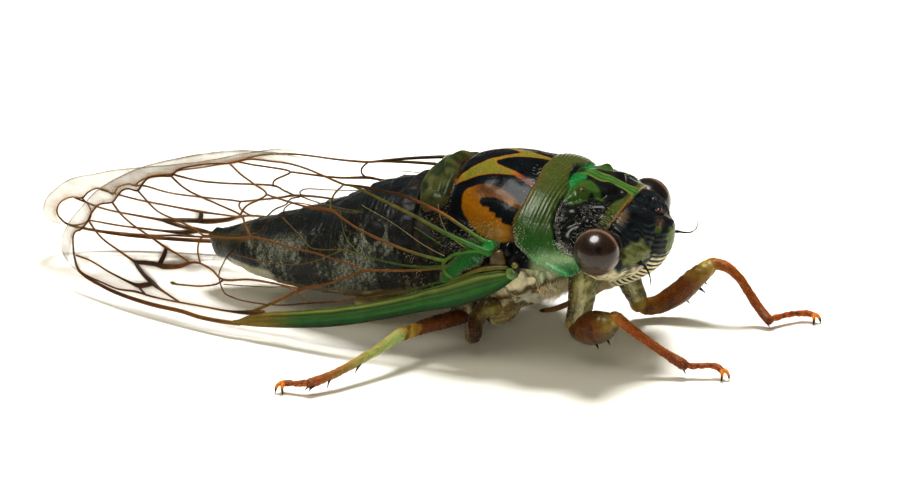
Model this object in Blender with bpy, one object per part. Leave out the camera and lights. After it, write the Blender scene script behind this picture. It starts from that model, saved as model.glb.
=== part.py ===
"""Davis southeastern dog-day cicada, Neotibicen davisi: a still, life-size model.

The animal stands on its six feet with its wings folded like a roof.
+X points along the body towards the head, +Y to the animal's left, +Z up,
and the floor is the plane z = 0.  Sizes are written in millimetres and
multiplied by MM where a mesh is made, so the objects are in metres.
"""
import math

import bmesh
import bpy
from mathutils import Matrix, Vector
from mathutils.geometry import delaunay_2d_cdt

MM = 0.001
GAP = 0.3
WELDS = (0.01, 0.004, 0.001)
LEAST_LEFT = 0.1
SIDES = {"right": -1, "left": 1}
MODEL_CENTRE_X = -6.02

# Driving sizes of the body, in millimetres
EYE_CENTRE = (6.19, 4.04, 6.28)
EYE_RADIUS = 1.27
WAIST = 5.0
BODY_SEGMENTS = 24
TERGITES = 7
TERGITE_STEP = 0.13

# Driving sizes of the wings, in millimetres
MEMBRANE = 0.5
VEIN_HEIGHT = 0.22
VEIN_HALF_WIDTH = 0.3
RIM_MARGIN = 0.18
WING_ROOT_X = 1.5
HINDWING_INSET = 1.05

PARTS = None
CUTTERS = None
MOULDS = {}


# Scene and materials

def clear_scene():
    for obj in list(bpy.data.objects):
        bpy.data.objects.remove(obj, do_unlink=True)
    for mesh in list(bpy.data.meshes):
        bpy.data.meshes.remove(mesh)


def new_collection(name):
    collection = bpy.data.collections.new(name)
    bpy.context.scene.collection.children.link(collection)
    return collection


def paint(obj, colour, roughness, alpha=1.0):
    material = bpy.data.materials.new(obj.name + "_finish")
    material.use_nodes = True
    shader = material.node_tree.nodes["Principled BSDF"]
    shader.inputs["Base Color"].default_value = (*colour, 1.0)
    shader.inputs["Roughness"].default_value = roughness
    shader.inputs["Metallic"].default_value = 0.0
    shader.inputs["Alpha"].default_value = alpha
    material.diffuse_color = (*colour, alpha)
    obj.data.materials.clear()
    obj.data.materials.append(material)


# Mesh helpers

def object_from_bmesh(name, bm):
    """A new object, with a copy of its plain form kept as a mould for clearance cuts."""
    bmesh.ops.recalc_face_normals(bm, faces=bm.faces)
    mesh = bpy.data.meshes.new(name)
    bm.to_mesh(mesh)
    bm.free()
    obj = bpy.data.objects.new(name, mesh)
    PARTS.objects.link(obj)
    MOULDS[obj.name] = [mesh.copy()]
    return obj


def loft(name, rings):
    """Skin a row of closed rings of equal count, with fan caps at both ends."""
    bm = bmesh.new()
    rows = [[bm.verts.new(Vector(point) * MM) for point in ring] for ring in rings]
    count = len(rings[0])
    for low, high in zip(rows, rows[1:]):
        for i in range(count):
            j = (i + 1) % count
            bm.faces.new((low[i], low[j], high[j], high[i]))
    for row in (rows[0], rows[-1]):
        centre = sum((v.co for v in row), Vector()) / count
        hub = bm.verts.new(centre)
        for i in range(count):
            bm.faces.new((row[i], row[(i + 1) % count], hub))
    return object_from_bmesh(name, bm)


def ball(name, centre, radii, segments=20, rings=12, turn=(0, 0, 0)):
    bm = bmesh.new()
    bmesh.ops.create_uvsphere(bm, u_segments=segments, v_segments=rings, radius=1.0)
    place = Matrix.Translation(Vector(centre) * MM)
    for axis, angle in zip("ZYX", reversed(turn)):
        place = place @ Matrix.Rotation(math.radians(angle), 4, axis)
    place = place @ Matrix.Diagonal((*[r * MM for r in radii], 1.0))
    bmesh.ops.transform(bm, matrix=place, verts=bm.verts)
    return object_from_bmesh(name, bm)


def box(name, low, high):
    bm = bmesh.new()
    bmesh.ops.create_cube(bm, size=1.0)
    low, high = Vector(low) * MM, Vector(high) * MM
    size = high - low
    place = Matrix.Translation((low + high) / 2) @ Matrix.Diagonal((*size, 1.0))
    bmesh.ops.transform(bm, matrix=place, verts=bm.verts)
    return object_from_bmesh(name, bm)


def spine(name, base, tip, radius, sides=6):
    """A tapered spike whose wide end is sunk in the surface it grows from."""
    base, tip = Vector(base) * MM, Vector(tip) * MM
    axis = tip - base
    bm = bmesh.new()
    bmesh.ops.create_cone(bm, cap_ends=True, segments=sides, radius1=radius * MM,
                          radius2=0.25 * radius * MM, depth=axis.length)
    turn = axis.to_track_quat("Z", "Y").to_matrix().to_4x4()
    place = Matrix.Translation((base + tip) / 2) @ turn
    bmesh.ops.transform(bm, matrix=place, verts=bm.verts)
    return object_from_bmesh(name, bm)


def curve_points(points, steps):
    """Read a smooth Catmull-Rom path, with `steps` pieces a span, through rows of numbers."""
    rows = [Vector(point) for point in points]
    if len(rows) == 2 or steps == 1:
        return rows
    padded = [rows[0] * 2 - rows[1], *rows, rows[-1] * 2 - rows[-2]]
    path = []
    for a, b, c, d in zip(padded, padded[1:], padded[2:], padded[3:]):
        for k in range(steps):
            t = k / steps
            path.append(0.5 * (2 * b + (c - a) * t + (2 * a - 5 * b + 4 * c - d) * t * t
                               + (3 * b - a - 3 * c + d) * t ** 3))
    path.append(rows[-1])
    return path


def tube(name, stations, steps=2):
    """A tapered tube; a station is (x, y, z, radius)."""
    path = curve_points(stations, steps)
    curve = bpy.data.curves.new(name, "CURVE")
    curve.dimensions = "3D"
    curve.bevel_depth = MM
    curve.bevel_resolution = 2
    curve.use_fill_caps = True
    spline = curve.splines.new("POLY")
    spline.points.add(len(path) - 1)
    for point, (x, y, z, radius) in zip(spline.points, path):
        point.co = (x * MM, y * MM, z * MM, 1.0)
        point.radius = radius
    guide = bpy.data.objects.new(name + "_guide", curve)
    PARTS.objects.link(guide)
    mesh = evaluated_mesh(guide)
    place = guide.matrix_world.copy()
    bpy.data.objects.remove(guide, do_unlink=True)
    bm = bmesh.new()
    bm.from_mesh(mesh)
    bmesh.ops.remove_doubles(bm, verts=bm.verts, dist=0.002 * MM)
    bpy.data.meshes.remove(mesh)
    obj = object_from_bmesh(name, bm)
    obj.matrix_world = place
    return obj


def evaluated_mesh(obj):
    bpy.context.view_layer.update()
    graph = bpy.context.evaluated_depsgraph_get()
    return bpy.data.meshes.new_from_object(obj.evaluated_get(graph))


def connected_groups(faces):
    """Sort faces into sets that hang together along their edges."""
    unseen = set(faces)
    groups = []
    while unseen:
        group = set()
        queue = [unseen.pop()]
        while queue:
            face = queue.pop()
            group.add(face)
            for edge in face.edges:
                for other in edge.link_faces:
                    if other in unseen:
                        unseen.remove(other)
                        queue.append(other)
        groups.append(group)
    return groups


def volume_of(mesh):
    bm = bmesh.new()
    bm.from_mesh(mesh)
    volume = bm.calc_volume(signed=True)
    bm.free()
    return volume


def largest_surface(mesh, weld, least):
    """Weld a mesh and keep its largest surface, as a bmesh, and say whether that is closed
    and holds more than the least volume."""
    bm = bmesh.new()
    bm.from_mesh(mesh)
    bmesh.ops.triangulate(bm, faces=bm.faces)
    bmesh.ops.remove_doubles(bm, verts=bm.verts, dist=weld * MM)
    bmesh.ops.dissolve_degenerate(bm, edges=bm.edges, dist=weld * MM)
    bmesh.ops.triangulate(bm, faces=bm.faces)
    groups = connected_groups(bm.faces)
    largest = max(groups, key=lambda group: sum(face.calc_area() for face in group), default=None)
    scraps = [face for group in groups if group is not largest for face in group]
    bmesh.ops.delete(bm, geom=scraps, context="FACES")
    loose = [v for v in bm.verts if not v.link_faces]
    bmesh.ops.delete(bm, geom=loose, context="VERTS")
    closed = all(part.is_manifold for part in [*bm.edges, *bm.verts])
    return bm, closed and bool(bm.faces) and bm.calc_volume(signed=True) > least


def boolean(obj, pieces, operation):
    """Join, cut or meet an object with closed pieces, which are used up."""
    group = bpy.data.collections.new(obj.name + "_pieces")
    CUTTERS.children.link(group)
    for piece in pieces:
        for owner in list(piece.users_collection):
            owner.objects.unlink(piece)
        group.objects.link(piece)
        piece.hide_render = True
        piece.display_type = "WIRE"
    step = obj.modifiers.new("boolean", "BOOLEAN")
    step.operation = operation
    step.operand_type = "COLLECTION"
    step.collection = group
    share = {"UNION": 0.95, "DIFFERENCE": LEAST_LEFT, "INTERSECT": 0.0}[operation]
    least = share * volume_of(obj.data)
    ways = [("EXACT", False), ("EXACT", True), ("MANIFOLD", False)]
    for (solver, use_self), weld in [(way, weld) for way in ways for weld in WELDS]:
        step.solver = solver
        step.use_self = use_self
        mesh = evaluated_mesh(obj)
        bm, whole = largest_surface(mesh, weld, least)
        if whole:
            break
    else:
        print("no closed solid left in", obj.name, operation)
    bm.to_mesh(mesh)
    bm.free()
    obj.modifiers.clear()
    obj.data = mesh
    if operation == "UNION":
        for piece in pieces:
            MOULDS[obj.name].extend(MOULDS[piece.name])
    for piece in pieces:
        bpy.data.objects.remove(piece, do_unlink=True)
    bpy.data.collections.remove(group)
    return obj


def join(obj, pieces):
    return boolean(obj, pieces, "UNION")


def cut(obj, pieces):
    return boolean(obj, pieces, "DIFFERENCE")


def grown(obj, gap=GAP):
    """Copies of an object's plain forms whose surfaces stand `gap` proud of the originals."""
    copies = []
    for mould in MOULDS[obj.name]:
        bm = bmesh.new()
        bm.from_mesh(mould)
        bm.normal_update()
        moved = [v.co + v.normal * gap * MM * min(v.calc_shell_factor(), 1.4) for v in bm.verts]
        for v, place in zip(bm.verts, moved):
            v.co = place
        mesh = bpy.data.meshes.new(obj.name + "_grown")
        bm.to_mesh(mesh)
        bm.free()
        copy = bpy.data.objects.new(obj.name + "_grown", mesh)
        PARTS.objects.link(copy)
        copies.append(copy)
    return copies


def clear_of(obj, neighbours):
    """Cut an object clear of its neighbours by the gap, one plain form at a time."""
    for other in neighbours:
        for copy in grown(other):
            if boxes_meet(obj, copy):
                cut(obj, [copy])
            else:
                bpy.data.objects.remove(copy, do_unlink=True)
    return obj


def grown_whole(neighbours):
    """One closed cutter, the gap proud of all the neighbours together."""
    copies = [copy for other in neighbours for copy in grown(other)]
    whole = copies[0]
    MOULDS[whole.name] = []
    for copy in copies[1:]:
        MOULDS[copy.name] = []
        join(whole, [copy])
    return whole


def copy_of(obj):
    copy = bpy.data.objects.new(obj.name, obj.data.copy())
    PARTS.objects.link(copy)
    return copy


def boxes_meet(a, b):
    """Whether the bounding boxes of two unmoved objects overlap."""
    corners = [[v.co for v in obj.data.vertices] for obj in (a, b)]
    spans = [[(min(c[i] for c in cs), max(c[i] for c in cs)) for i in range(3)] for cs in corners]
    return all(p[0] < q[1] and q[0] < p[1] for p, q in zip(*spans))


# Sections of the trunk

def arch(x_top, x_side, half_width, top, waist=WAIST):
    """Upper half of a trunk section; its foot points stand at x_side."""
    points = []
    for i in range(BODY_SEGMENTS // 2 + 1):
        angle = math.pi * i / (BODY_SEGMENTS // 2)
        rise = math.sin(angle)
        lean = (1.0 - rise) ** 1.3
        x = x_top + (x_side - x_top) * lean
        points.append((x, -half_width * math.cos(angle), waist + (top - waist) * rise))
    return points


def keel(x, half_width, bottom, waist):
    """Lower half of a trunk section, closed along its flat top."""
    points = []
    for i in range(BODY_SEGMENTS // 2 + 1):
        angle = math.pi * i / (BODY_SEGMENTS // 2)
        fall = math.sin(angle) ** 0.8
        points.append((x, -half_width * math.cos(angle), waist + (bottom - waist) * fall))
    return points


def hoop(x, half_width, top, bottom, lean=0.0):
    """Whole oval section; lean shifts its top forward."""
    middle = (top + bottom) / 2
    half = (top - bottom) / 2
    points = []
    for i in range(BODY_SEGMENTS):
        angle = 2 * math.pi * i / BODY_SEGMENTS
        rise = math.sin(angle)
        points.append((x + lean * rise, half_width * math.cos(angle), middle + half * rise))
    return points


# Head

def make_eyes():
    eyes = []
    for side, sign in SIDES.items():
        x, y, z = EYE_CENTRE
        radii = (EYE_RADIUS, EYE_RADIUS * 0.96, EYE_RADIUS)
        eye = ball("eye_" + side, (x, sign * y, z), radii, 20, 12)
        paint(eye, (0.12, 0.08, 0.06), 0.15)
        eyes.append(eye)
    return eyes


def make_face():
    """Swollen, ribbed postclypeus: oval rings along a path down the front of the head."""
    path = [(7.85, 7.25, 0.45, 0.55), (7.95, 6.55, 1.15, 0.95), (7.85, 5.75, 1.45, 1.0),
            (7.45, 5.0, 1.5, 0.98), (6.75, 4.3, 1.3, 0.85), (5.8, 3.55, 0.85, 0.6),
            (4.95, 2.95, 0.55, 0.42), (4.6, 2.68, 0.42, 0.34)]
    stations = curve_points(path, 3)
    rings = []
    for k, (x, z, half_width, depth) in enumerate(stations):
        before = stations[max(k - 1, 0)]
        after = stations[min(k + 1, len(stations) - 1)]
        along = Vector((after[0] - before[0], 0, after[1] - before[1])).normalized()
        outward = Vector((-along.z, 0, along.x))
        swell = 1.0 + (0.035 if k % 2 else -0.035)
        ring = []
        for i in range(16):
            angle = 2 * math.pi * i / 16
            place = Vector((x, 0, z)) + outward * depth * swell * math.cos(angle)
            place += Vector((0, 1, 0)) * half_width * swell * math.sin(angle)
            ring.append(place)
        rings.append(ring)
    face = loft("face", rings)
    paint(face, (0.03, 0.03, 0.02), 0.3)
    return face


def make_head(eyes, face, pronotum):
    stations = [(4.7, 3.5, 8.3, 3.9, 0.2), (5.4, 3.9, 8.6, 3.6, 0.2), (6.2, 4.0, 8.55, 3.6, 0.2),
                (7.0, 3.65, 8.2, 3.8, 0.15), (7.6, 2.95, 7.9, 4.2, 0.1), (8.1, 2.0, 7.6, 4.8, 0.0),
                (8.4, 0.9, 7.2, 5.6, 0.0)]
    head = loft("head", [hoop(*station) for station in stations])
    ocelli = [((7.72, 0.0, 7.72), 0.2), ((7.2, -0.55, 8.05), 0.19), ((7.2, 0.55, 8.05), 0.19)]
    beads = [ball("ocellus", place, (r, r, r), 8, 6) for place, r in ocelli]
    join(head, beads)
    clear_of(head, [pronotum, face, *eyes])
    paint(head, (0.02, 0.02, 0.015), 0.3)
    return head


def make_antennae(head, face):
    routes = {"right": [(7.3, -2.05, 5.35, 0.27), (8.0, -2.35, 5.4, 0.25), (8.3, -2.6, 5.3, 0.2),
                        (8.7, -2.8, 4.85, 0.14), (8.68, -2.9, 4.35, 0.1)],
              "left": [(7.3, 1.9, 5.5, 0.27), (8.3, 2.05, 5.6, 0.25), (8.8, 2.35, 5.48, 0.2),
                       (9.3, 2.75, 5.68, 0.14), (9.31, 2.9, 5.98, 0.1)]}
    for side, stations in routes.items():
        feeler = tube("antenna_" + side, stations)
        clear_of(feeler, [head, face])
        paint(feeler, (0.03, 0.02, 0.015), 0.35)


def make_rostrum(face, head, thorax):
    stations = [(4.75, 0, 2.75, 0.3), (4.0, 0, 2.1, 0.36), (3.2, 0, 1.45, 0.32),
                (2.5, 0, 1.1, 0.27), (1.9, 0, 0.95, 0.2)]
    beak = tube("rostrum", stations)
    clear_of(beak, [face, head, thorax])
    paint(beak, (0.3, 0.16, 0.06), 0.4)
    return beak


# Thorax

def make_pronotum():
    """Saddle behind the head, with a rolled collar along its rear edge."""
    stations = [(2.0, 3.45, 4.65, 9.2), (1.75, 3.65, 4.95, 9.42), (2.0, 3.9, 5.12, 9.6),
                (2.6, 4.15, 5.15, 9.65), (3.1, 4.4, 5.02, 9.55), (3.45, 4.55, 4.8, 9.32),
                (4.2, 4.75, 4.55, 9.22), (5.0, 4.95, 4.3, 8.98), (5.9, 5.05, 4.1, 8.66),
                (6.7, 5.1, 3.85, 8.28)]
    pronotum = loft("pronotum", [arch(*station) for station in stations])
    paint(pronotum, (0.12, 0.2, 0.03), 0.35)
    return pronotum


def make_mesonotum(pronotum):
    """Black shield with the raised cross of the scutellum at its rear."""
    stations = [(-4.55, -3.6, 3.0, 7.75), (-4.0, -3.5, 3.3, 8.15), (-3.0, -2.9, 3.75, 8.62),
                (-2.0, -2.0, 4.05, 9.12), (-0.8, -0.8, 4.3, 9.46), (0.4, 0.4, 4.4, 9.58),
                (1.4, 1.6, 4.42, 9.54), (2.4, 3.2, 4.4, 9.4), (3.2, 4.0, 4.3, 9.2)]
    shield = loft("mesonotum", [arch(*station) for station in stations])
    arms = []
    for sign in SIDES.values():
        front = [(-2.4, sign * 1.75, 8.25, 0.3), (-3.0, sign * 0.75, 8.5, 0.42),
                 (-3.6, 0, 8.42, 0.45)]
        rear = [(-3.5, 0, 8.42, 0.45), (-4.1, sign * 0.9, 8.0, 0.42), (-4.6, sign * 1.6, 7.5, 0.3)]
        arms.append(tube("cross_front", front))
        arms.append(tube("cross_rear", rear))
    join(shield, arms)
    clear_of(shield, [pronotum])
    paint(shield, (0.02, 0.02, 0.015), 0.2)
    return shield


def make_metanotum(mesonotum):
    stations = [(-5.55, -5.3, 3.55, 7.35), (-5.2, -5.0, 3.65, 7.6), (-4.4, -4.0, 3.6, 7.6)]
    band = loft("metanotum", [arch(*station) for station in stations])
    clear_of(band, [mesonotum])
    paint(band, (0.05, 0.05, 0.03), 0.4)
    return band


def make_thorax():
    waist = WAIST - GAP
    stations = [(-5.2, 3.4, 1.35, waist), (-4.0, 3.75, 1.15, waist), (-2.5, 3.95, 1.15, waist),
                (-0.8, 4.15, 1.2, waist), (0.8, 4.2, 1.3, waist), (2.2, 4.0, 1.5, waist),
                (3.4, 3.6, 2.1, waist), (4.4, 3.1, 3.0, waist)]
    trunk = loft("thorax", [keel(*station) for station in stations])
    paint(trunk, (0.45, 0.4, 0.3), 0.6)
    return trunk


# Abdomen

def abdomen_size(x):
    """Half width, top and bottom of the abdomen at x, read along its named stations."""
    stations = [(-5.5, 3.55, 7.35, 1.0), (-7.0, 3.45, 6.85, 0.75), (-9.0, 3.1, 6.05, 0.65),
                (-11.0, 2.7, 5.25, 0.65), (-13.0, 2.15, 4.5, 0.85), (-14.4, 1.75, 4.0, 1.15),
                (-15.6, 1.2, 3.55, 1.55), (-16.6, 0.55, 3.2, 2.0)]
    for (x0, *a), (x1, *b) in zip(stations, stations[1:]):
        if x >= x1:
            t = (x0 - x) / (x0 - x1)
            return [p + (q - p) * t for p, q in zip(a, b)]
    return stations[-1][1:]


def make_abdomen(front_parts):
    """Seven tergites, each flaring to a raised rear edge."""
    front, rear = -5.0, -14.3
    rings = []
    for k in range(TERGITES):
        start = front + (rear - front) * k / TERGITES
        end = front + (rear - front) * (k + 1) / TERGITES
        for x, step in ((start, -TERGITE_STEP), (end + 0.12, 0.3 * TERGITE_STEP)):
            half_width, top, bottom = abdomen_size(x)
            rings.append(hoop(x, half_width + step, top + step, bottom - step, 0.25))
    abdomen = loft("abdomen", rings)
    clear_of(abdomen, front_parts)
    return abdomen


def make_abdomen_tip():
    stations = [(-14.6, -0.1), (-15.2, 0.0), (-15.9, -0.02), (-16.5, 0.0)]
    rings = []
    for x, step in stations:
        half_width, top, bottom = abdomen_size(x)
        rings.append(hoop(x, half_width + step, top + step, bottom - step, 0.25))
    rings.append(hoop(-16.95, 0.2, 3.2, 2.75, 0.05))
    tip = loft("abdomen_tip", rings)
    paint(tip, (0.015, 0.025, 0.02), 0.25)
    return tip


def inlay(host, name, region):
    """Part a plate from a host along a thin cut round the region."""
    plate = bpy.data.objects.new(name, host.data.copy())
    PARTS.objects.link(plate)
    MOULDS[name] = MOULDS[region.name]
    cut(host, grown(region))
    boolean(plate, [region], "INTERSECT")
    return plate


def make_plates(abdomen):
    """Timbal covers on the flanks and opercula under the base of the abdomen."""
    for side, sign in SIDES.items():
        region = ball("region", (-6.6, sign * 3.8, 5.2), (0.75, 1.1, 1.25), 16, 10)
        cover = inlay(abdomen, "timbal_cover_" + side, region)
        paint(cover, (0.06, 0.06, 0.04), 0.4)
        region = ball("region", (-6.7, sign * 1.75, 0.75), (1.2, 1.3, 0.8), 16, 10)
        flap = inlay(abdomen, "operculum_" + side, region)
        paint(flap, (0.5, 0.45, 0.3), 0.5)
    paint(abdomen, (0.03, 0.03, 0.03), 0.45)


# Wings

def blend(stations, u):
    """Read smooth values between (u, value, ...) stations with eased steps."""
    if u <= stations[0][0]:
        return list(stations[0][1:])
    for k, (low, high) in enumerate(zip(stations, stations[1:])):
        if u <= high[0]:
            before = stations[max(k - 1, 0)]
            after = stations[min(k + 2, len(stations) - 1)]
            t = (u - low[0]) / (high[0] - low[0])
            values = []
            for i in range(1, len(low)):
                span = high[0] - low[0]
                m0 = (high[i] - before[i]) / (high[0] - before[0]) * span
                m1 = (after[i] - low[i]) / (after[0] - low[0]) * span
                values.append(low[i] * (1 + 2 * t) * (1 - t) ** 2 + m0 * t * (1 - t) ** 2
                              + high[i] * t * t * (3 - 2 * t) + m1 * t * t * (t - 1))
            return values
    return list(stations[-1][1:])


# The costal rail of a folded forewing: distance back from the root, then
# distance out from the midline, height, and slope of the roof in degrees.
WING_RAIL = [(-1.5, 4.1, 4.7, 84), (0, 4.75, 4.3, 80), (1.5, 5.2, 3.75, 74), (4, 5.8, 2.8, 65),
             (8, 6.4, 1.75, 56), (12, 6.45, 1.0, 53), (15, 6.3, 0.78, 54), (18, 5.7, 0.74, 56),
             (21, 4.8, 0.78, 58), (24, 3.6, 0.85, 60), (27, 2.3, 1.0, 62)]

# The left wing lies a little lower at the ridge, and its tip reaches further back.
# Distance back from the root, then shift back, outward and up, and scale across.
LEFT_SWAY = [(6, 0, 0, 0, 1.0), (10, 0.4, -0.5, 0.1, 0.94), (14, 0.5, -0.9, 0.15, 0.92),
             (19, 0.9, -1.5, 0.0, 0.84), (23, 2.0, -1.25, 0.02, 0.87), (27, 2.5, -1.0, 0.25, 1.0)]


def wing_place(side, u, v, inset=0.0):
    """Point of the wing's middle surface at u back from the root and v up from the costa."""
    out, height, slope = blend(WING_RAIL, u)
    slope = math.radians(slope)
    back = 0.0
    if side == "left":
        back, outward, up, across = blend(LEFT_SWAY, u)
        out, height, v = out + outward, height + up, v * across
    y = out - v * math.cos(slope) - inset * math.sin(slope)
    z = height + v * math.sin(slope) - inset * math.cos(slope)
    return Vector((WING_ROOT_X - u - back, SIDES[side] * y, z))


def wing_normal(side, u, v, inset):
    step = 0.05
    along = wing_place(side, u + step, v, inset) - wing_place(side, u - step, v, inset)
    across = wing_place(side, u, v + step, inset) - wing_place(side, u, v - step, inset)
    normal = along.cross(across).normalized()
    return normal if normal.y * SIDES[side] > 0 else -normal


# Outline of the forewing in its own plane, from the root round the tip
FOREWING_OUTLINE = [(-1.2, 0.3), (0.5, 0.0), (3, -0.4), (6, -0.35), (10, -0.3), (14, -0.25),
                    (18, -0.2), (22, -0.25), (24.8, -0.05), (26.1, 0.4), (26.4, 1.2), (26.1, 2.2),
                    (25.5, 3.2), (24.4, 4.7), (22.4, 6.3), (20.4, 7.4), (18.3, 8.3), (15.9, 9.0),
                    (13.7, 9.15), (11.8, 8.7), (10.2, 7.7), (8.4, 7.1), (6.0, 6.2), (3.9, 5.05),
                    (2.1, 3.6), (0.6, 2.5), (-1.0, 1.9)]

# Main veins of the forewing, each through junctions in the wing's own plane
FOREWING_VEINS = {
    "costa": [(-1.0, 0.6), (2.2, 0.05), (6, 0.05), (10, 0.05), (14.6, 0.1), (18, 0.15),
              (22.1, 0.1), (24.1, 0.35), (25.1, 0.75)],
    "subcosta": [(0.6, 1.1), (2.8, 0.75), (6.6, 0.55), (10.4, 0.55), (14.6, 0.1)],
    "ambient": [(25.1, 0.75), (25.5, 1.9), (24.7, 2.8), (24.2, 3.8), (23.4, 4.3), (21.9, 5.3),
                (21.4, 6.1), (20.0, 6.6), (19.2, 7.3), (16.7, 8.1), (15.2, 8.5), (13.2, 8.5),
                (11.3, 7.95), (9.9, 7.35)],
    "media": [(0.6, 1.1), (3.1, 1.7), (7.5, 2.4), (10.9, 1.7), (13.5, 0.5), (16.2, 0.5),
              (19.5, 0.5), (22.1, 0.45), (24.1, 0.35)],
    "cubitus": [(3.2, 2.05), (5.7, 3.3), (8.2, 4.7), (10.3, 6.0), (11.6, 6.25), (14.2, 6.8),
                (15.2, 6.1), (15.4, 5.5), (14.5, 4.4)],
    "upper_media": [(7.5, 2.4), (9.9, 3.4), (12.1, 4.0), (14.5, 4.4), (17.3, 4.0), (18.9, 4.4),
                    (20.7, 4.7), (21.9, 5.3)],
    "lower_media": [(10.9, 1.7), (12.5, 2.05), (15.5, 1.95), (17.1, 2.5), (19.2, 1.9), (21.1, 1.65),
                    (22.9, 2.0), (24.7, 2.8)],
    "cell_divider": [(17.3, 4.0), (17.4, 3.5), (17.1, 2.5), (18.5, 2.6), (20.3, 3.1), (21.9, 3.55),
                     (23.4, 4.3)],
    "radial_cross": [(21.1, 1.65), (19.7, 0.9), (18.0, 0.5)],
    "tip_vein": [(19.7, 0.9), (20.6, 0.7), (22.4, 0.85), (24.1, 0.95), (25.1, 0.75)],
    "spur_vein": [(15.5, 1.95), (16.2, 1.5), (18.4, 1.15)],
    "upper_cross": [(15.4, 5.5), (16.8, 5.8), (18.6, 6.15), (20.0, 6.6)],
    "rear_cross": [(14.2, 6.8), (15.1, 7.3), (16.7, 8.1)],
    "anal_cross": [(10.3, 6.0), (10.3, 6.8), (9.9, 7.35)],
    "first_anal": [(0.8, 1.7), (1.9, 2.55), (3.6, 3.75), (5.4, 5.0), (7.4, 6.2), (9.9, 7.35)],
    "base_bar": [(0.6, 1.1), (0.8, 1.7), (3.2, 2.05), (3.1, 1.7)],
}

HINDWING_OUTLINE = [(2.2, 0.9), (4.5, 0.7), (8, 0.6), (11.5, 0.55), (13.9, 0.7), (15.3, 1.05),
                    (16.2, 1.8), (16.6, 2.9), (16.3, 4.2), (15.5, 5.2), (14.4, 5.9), (13.2, 6.2),
                    (11.9, 5.8), (10.6, 4.9), (9.0, 4.1), (7.0, 3.4), (4.5, 2.9), (2.2, 2.6)]

HINDWING_VEINS = {
    "costa": [(2.6, 1.2), (6, 1.05), (9.6, 1.1), (12.2, 1.1), (14.2, 1.25), (15.3, 1.6),
              (15.9, 2.4), (15.7, 3.5), (14.9, 4.6), (13.6, 5.4)],
    "media": [(2.6, 2.0), (4.8, 2.2), (8.1, 3.2), (10.9, 4.1), (12.2, 4.9), (13.6, 5.4)],
    "branch": [(9.6, 1.1), (11.0, 1.8), (13.5, 2.0), (15.9, 2.4)],
}


def distance_to_segment(point, start, end):
    span = end - start
    t = max(0.0, min(1.0, (point - start).dot(span) / max(span.length_squared, 1e-12)))
    return (point - start - span * t).length


def vein_paths(veins, spacing):
    """Each vein as straight pieces about `spacing` long along a smooth curve."""
    paths = []
    for junctions in veins.values():
        fine = curve_points(junctions, 8)
        total = sum((b - a).length for a, b in zip(fine, fine[1:]))
        pieces = max(1, round(total / spacing))
        path, target, walked = [fine[0]], total / pieces, 0.0
        for a, b in zip(fine, fine[1:]):
            walked += (b - a).length
            if walked >= target * len(path) - 1e-6 and len(path) < pieces:
                path.append(b)
        path.append(fine[-1])
        paths.append(path)
    return paths


def inside(point, rim):
    """Whether a point lies inside a closed rim, by counting the sides it looks through."""
    crossings = 0
    for start, end in zip(rim, rim[1:] + rim[:1]):
        if (start.y > point.y) != (end.y > point.y):
            reach = start.x + (end.x - start.x) * (point.y - start.y) / (end.y - start.y)
            crossings += reach > point.x
    return crossings % 2 == 1


def clear_of_rim(point, rim):
    sides = zip(rim, rim[1:] + rim[:1])
    return inside(point, rim) and min(distance_to_segment(point, a, b) for a, b in sides) > RIM_MARGIN


def wing_plan(outline, veins, spacing):
    """Triangulate a wing's plane so that each vein's crest and feet are edges of it."""
    rim = curve_points(outline + outline[:1], 2)[:-1]
    segments, points, edges = [], [], []
    for i, place in enumerate(rim):
        points.append(place)
        edges.append((i, (i + 1) % len(rim)))
    for path in vein_paths(veins, spacing):
        first = len(points)
        points.extend(path)
        edges.extend((first + i, first + i + 1) for i in range(len(path) - 1))
        segments.extend(zip(path, path[1:]))
        for sign in (-1, 1):
            last = None
            for i, place in enumerate(path):
                along = path[min(i + 1, len(path) - 1)] - path[max(i - 1, 0)]
                foot = place + Vector((-along.y, along.x)).normalized() * sign * VEIN_HALF_WIDTH
                if not clear_of_rim(foot, rim):
                    last = None
                    continue
                if last is not None:
                    edges.append((last, len(points)))
                last = len(points)
                points.append(foot)
    plan = delaunay_2d_cdt(points, edges, [], 0, 0.06, True)
    corners = [[plan[0][i] for i in face] for face in plan[2]]
    faces = [face for face, (a, b, c) in zip(plan[2], corners) if inside((a + b + c) / 3, rim)]
    return plan[0], faces, segments


def crest(point, segments):
    nearest = min(distance_to_segment(point, a, b) for a, b in segments)
    return VEIN_HEIGHT * max(0.0, 1.0 - nearest / VEIN_HALF_WIDTH)


def make_wing(name, side, plan, inset=0.0):
    """A membrane of even thickness whose outer face rises into the veins."""
    points, faces, segments = plan
    bm = bmesh.new()
    outer, inner = [], []
    for point in points:
        place = wing_place(side, point.x, point.y, inset)
        normal = wing_normal(side, point.x, point.y, inset)
        lift = MEMBRANE / 2 + crest(point, segments)
        outer.append(bm.verts.new((place + normal * lift) * MM))
        inner.append(bm.verts.new((place - normal * MEMBRANE / 2) * MM))
    used = {}
    for a, b, c in faces:
        bm.faces.new((outer[a], outer[b], outer[c]))
        bm.faces.new((inner[c], inner[b], inner[a]))
        for edge in ((a, b), (b, c), (c, a)):
            used[edge] = True
    for a, b in used:
        if (b, a) not in used:
            bm.faces.new((outer[b], outer[a], inner[a], inner[b]))
    loose = [v for v in bm.verts if not v.link_faces]
    bmesh.ops.delete(bm, geom=loose, context="VERTS")
    return object_from_bmesh(name, bm)


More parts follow.
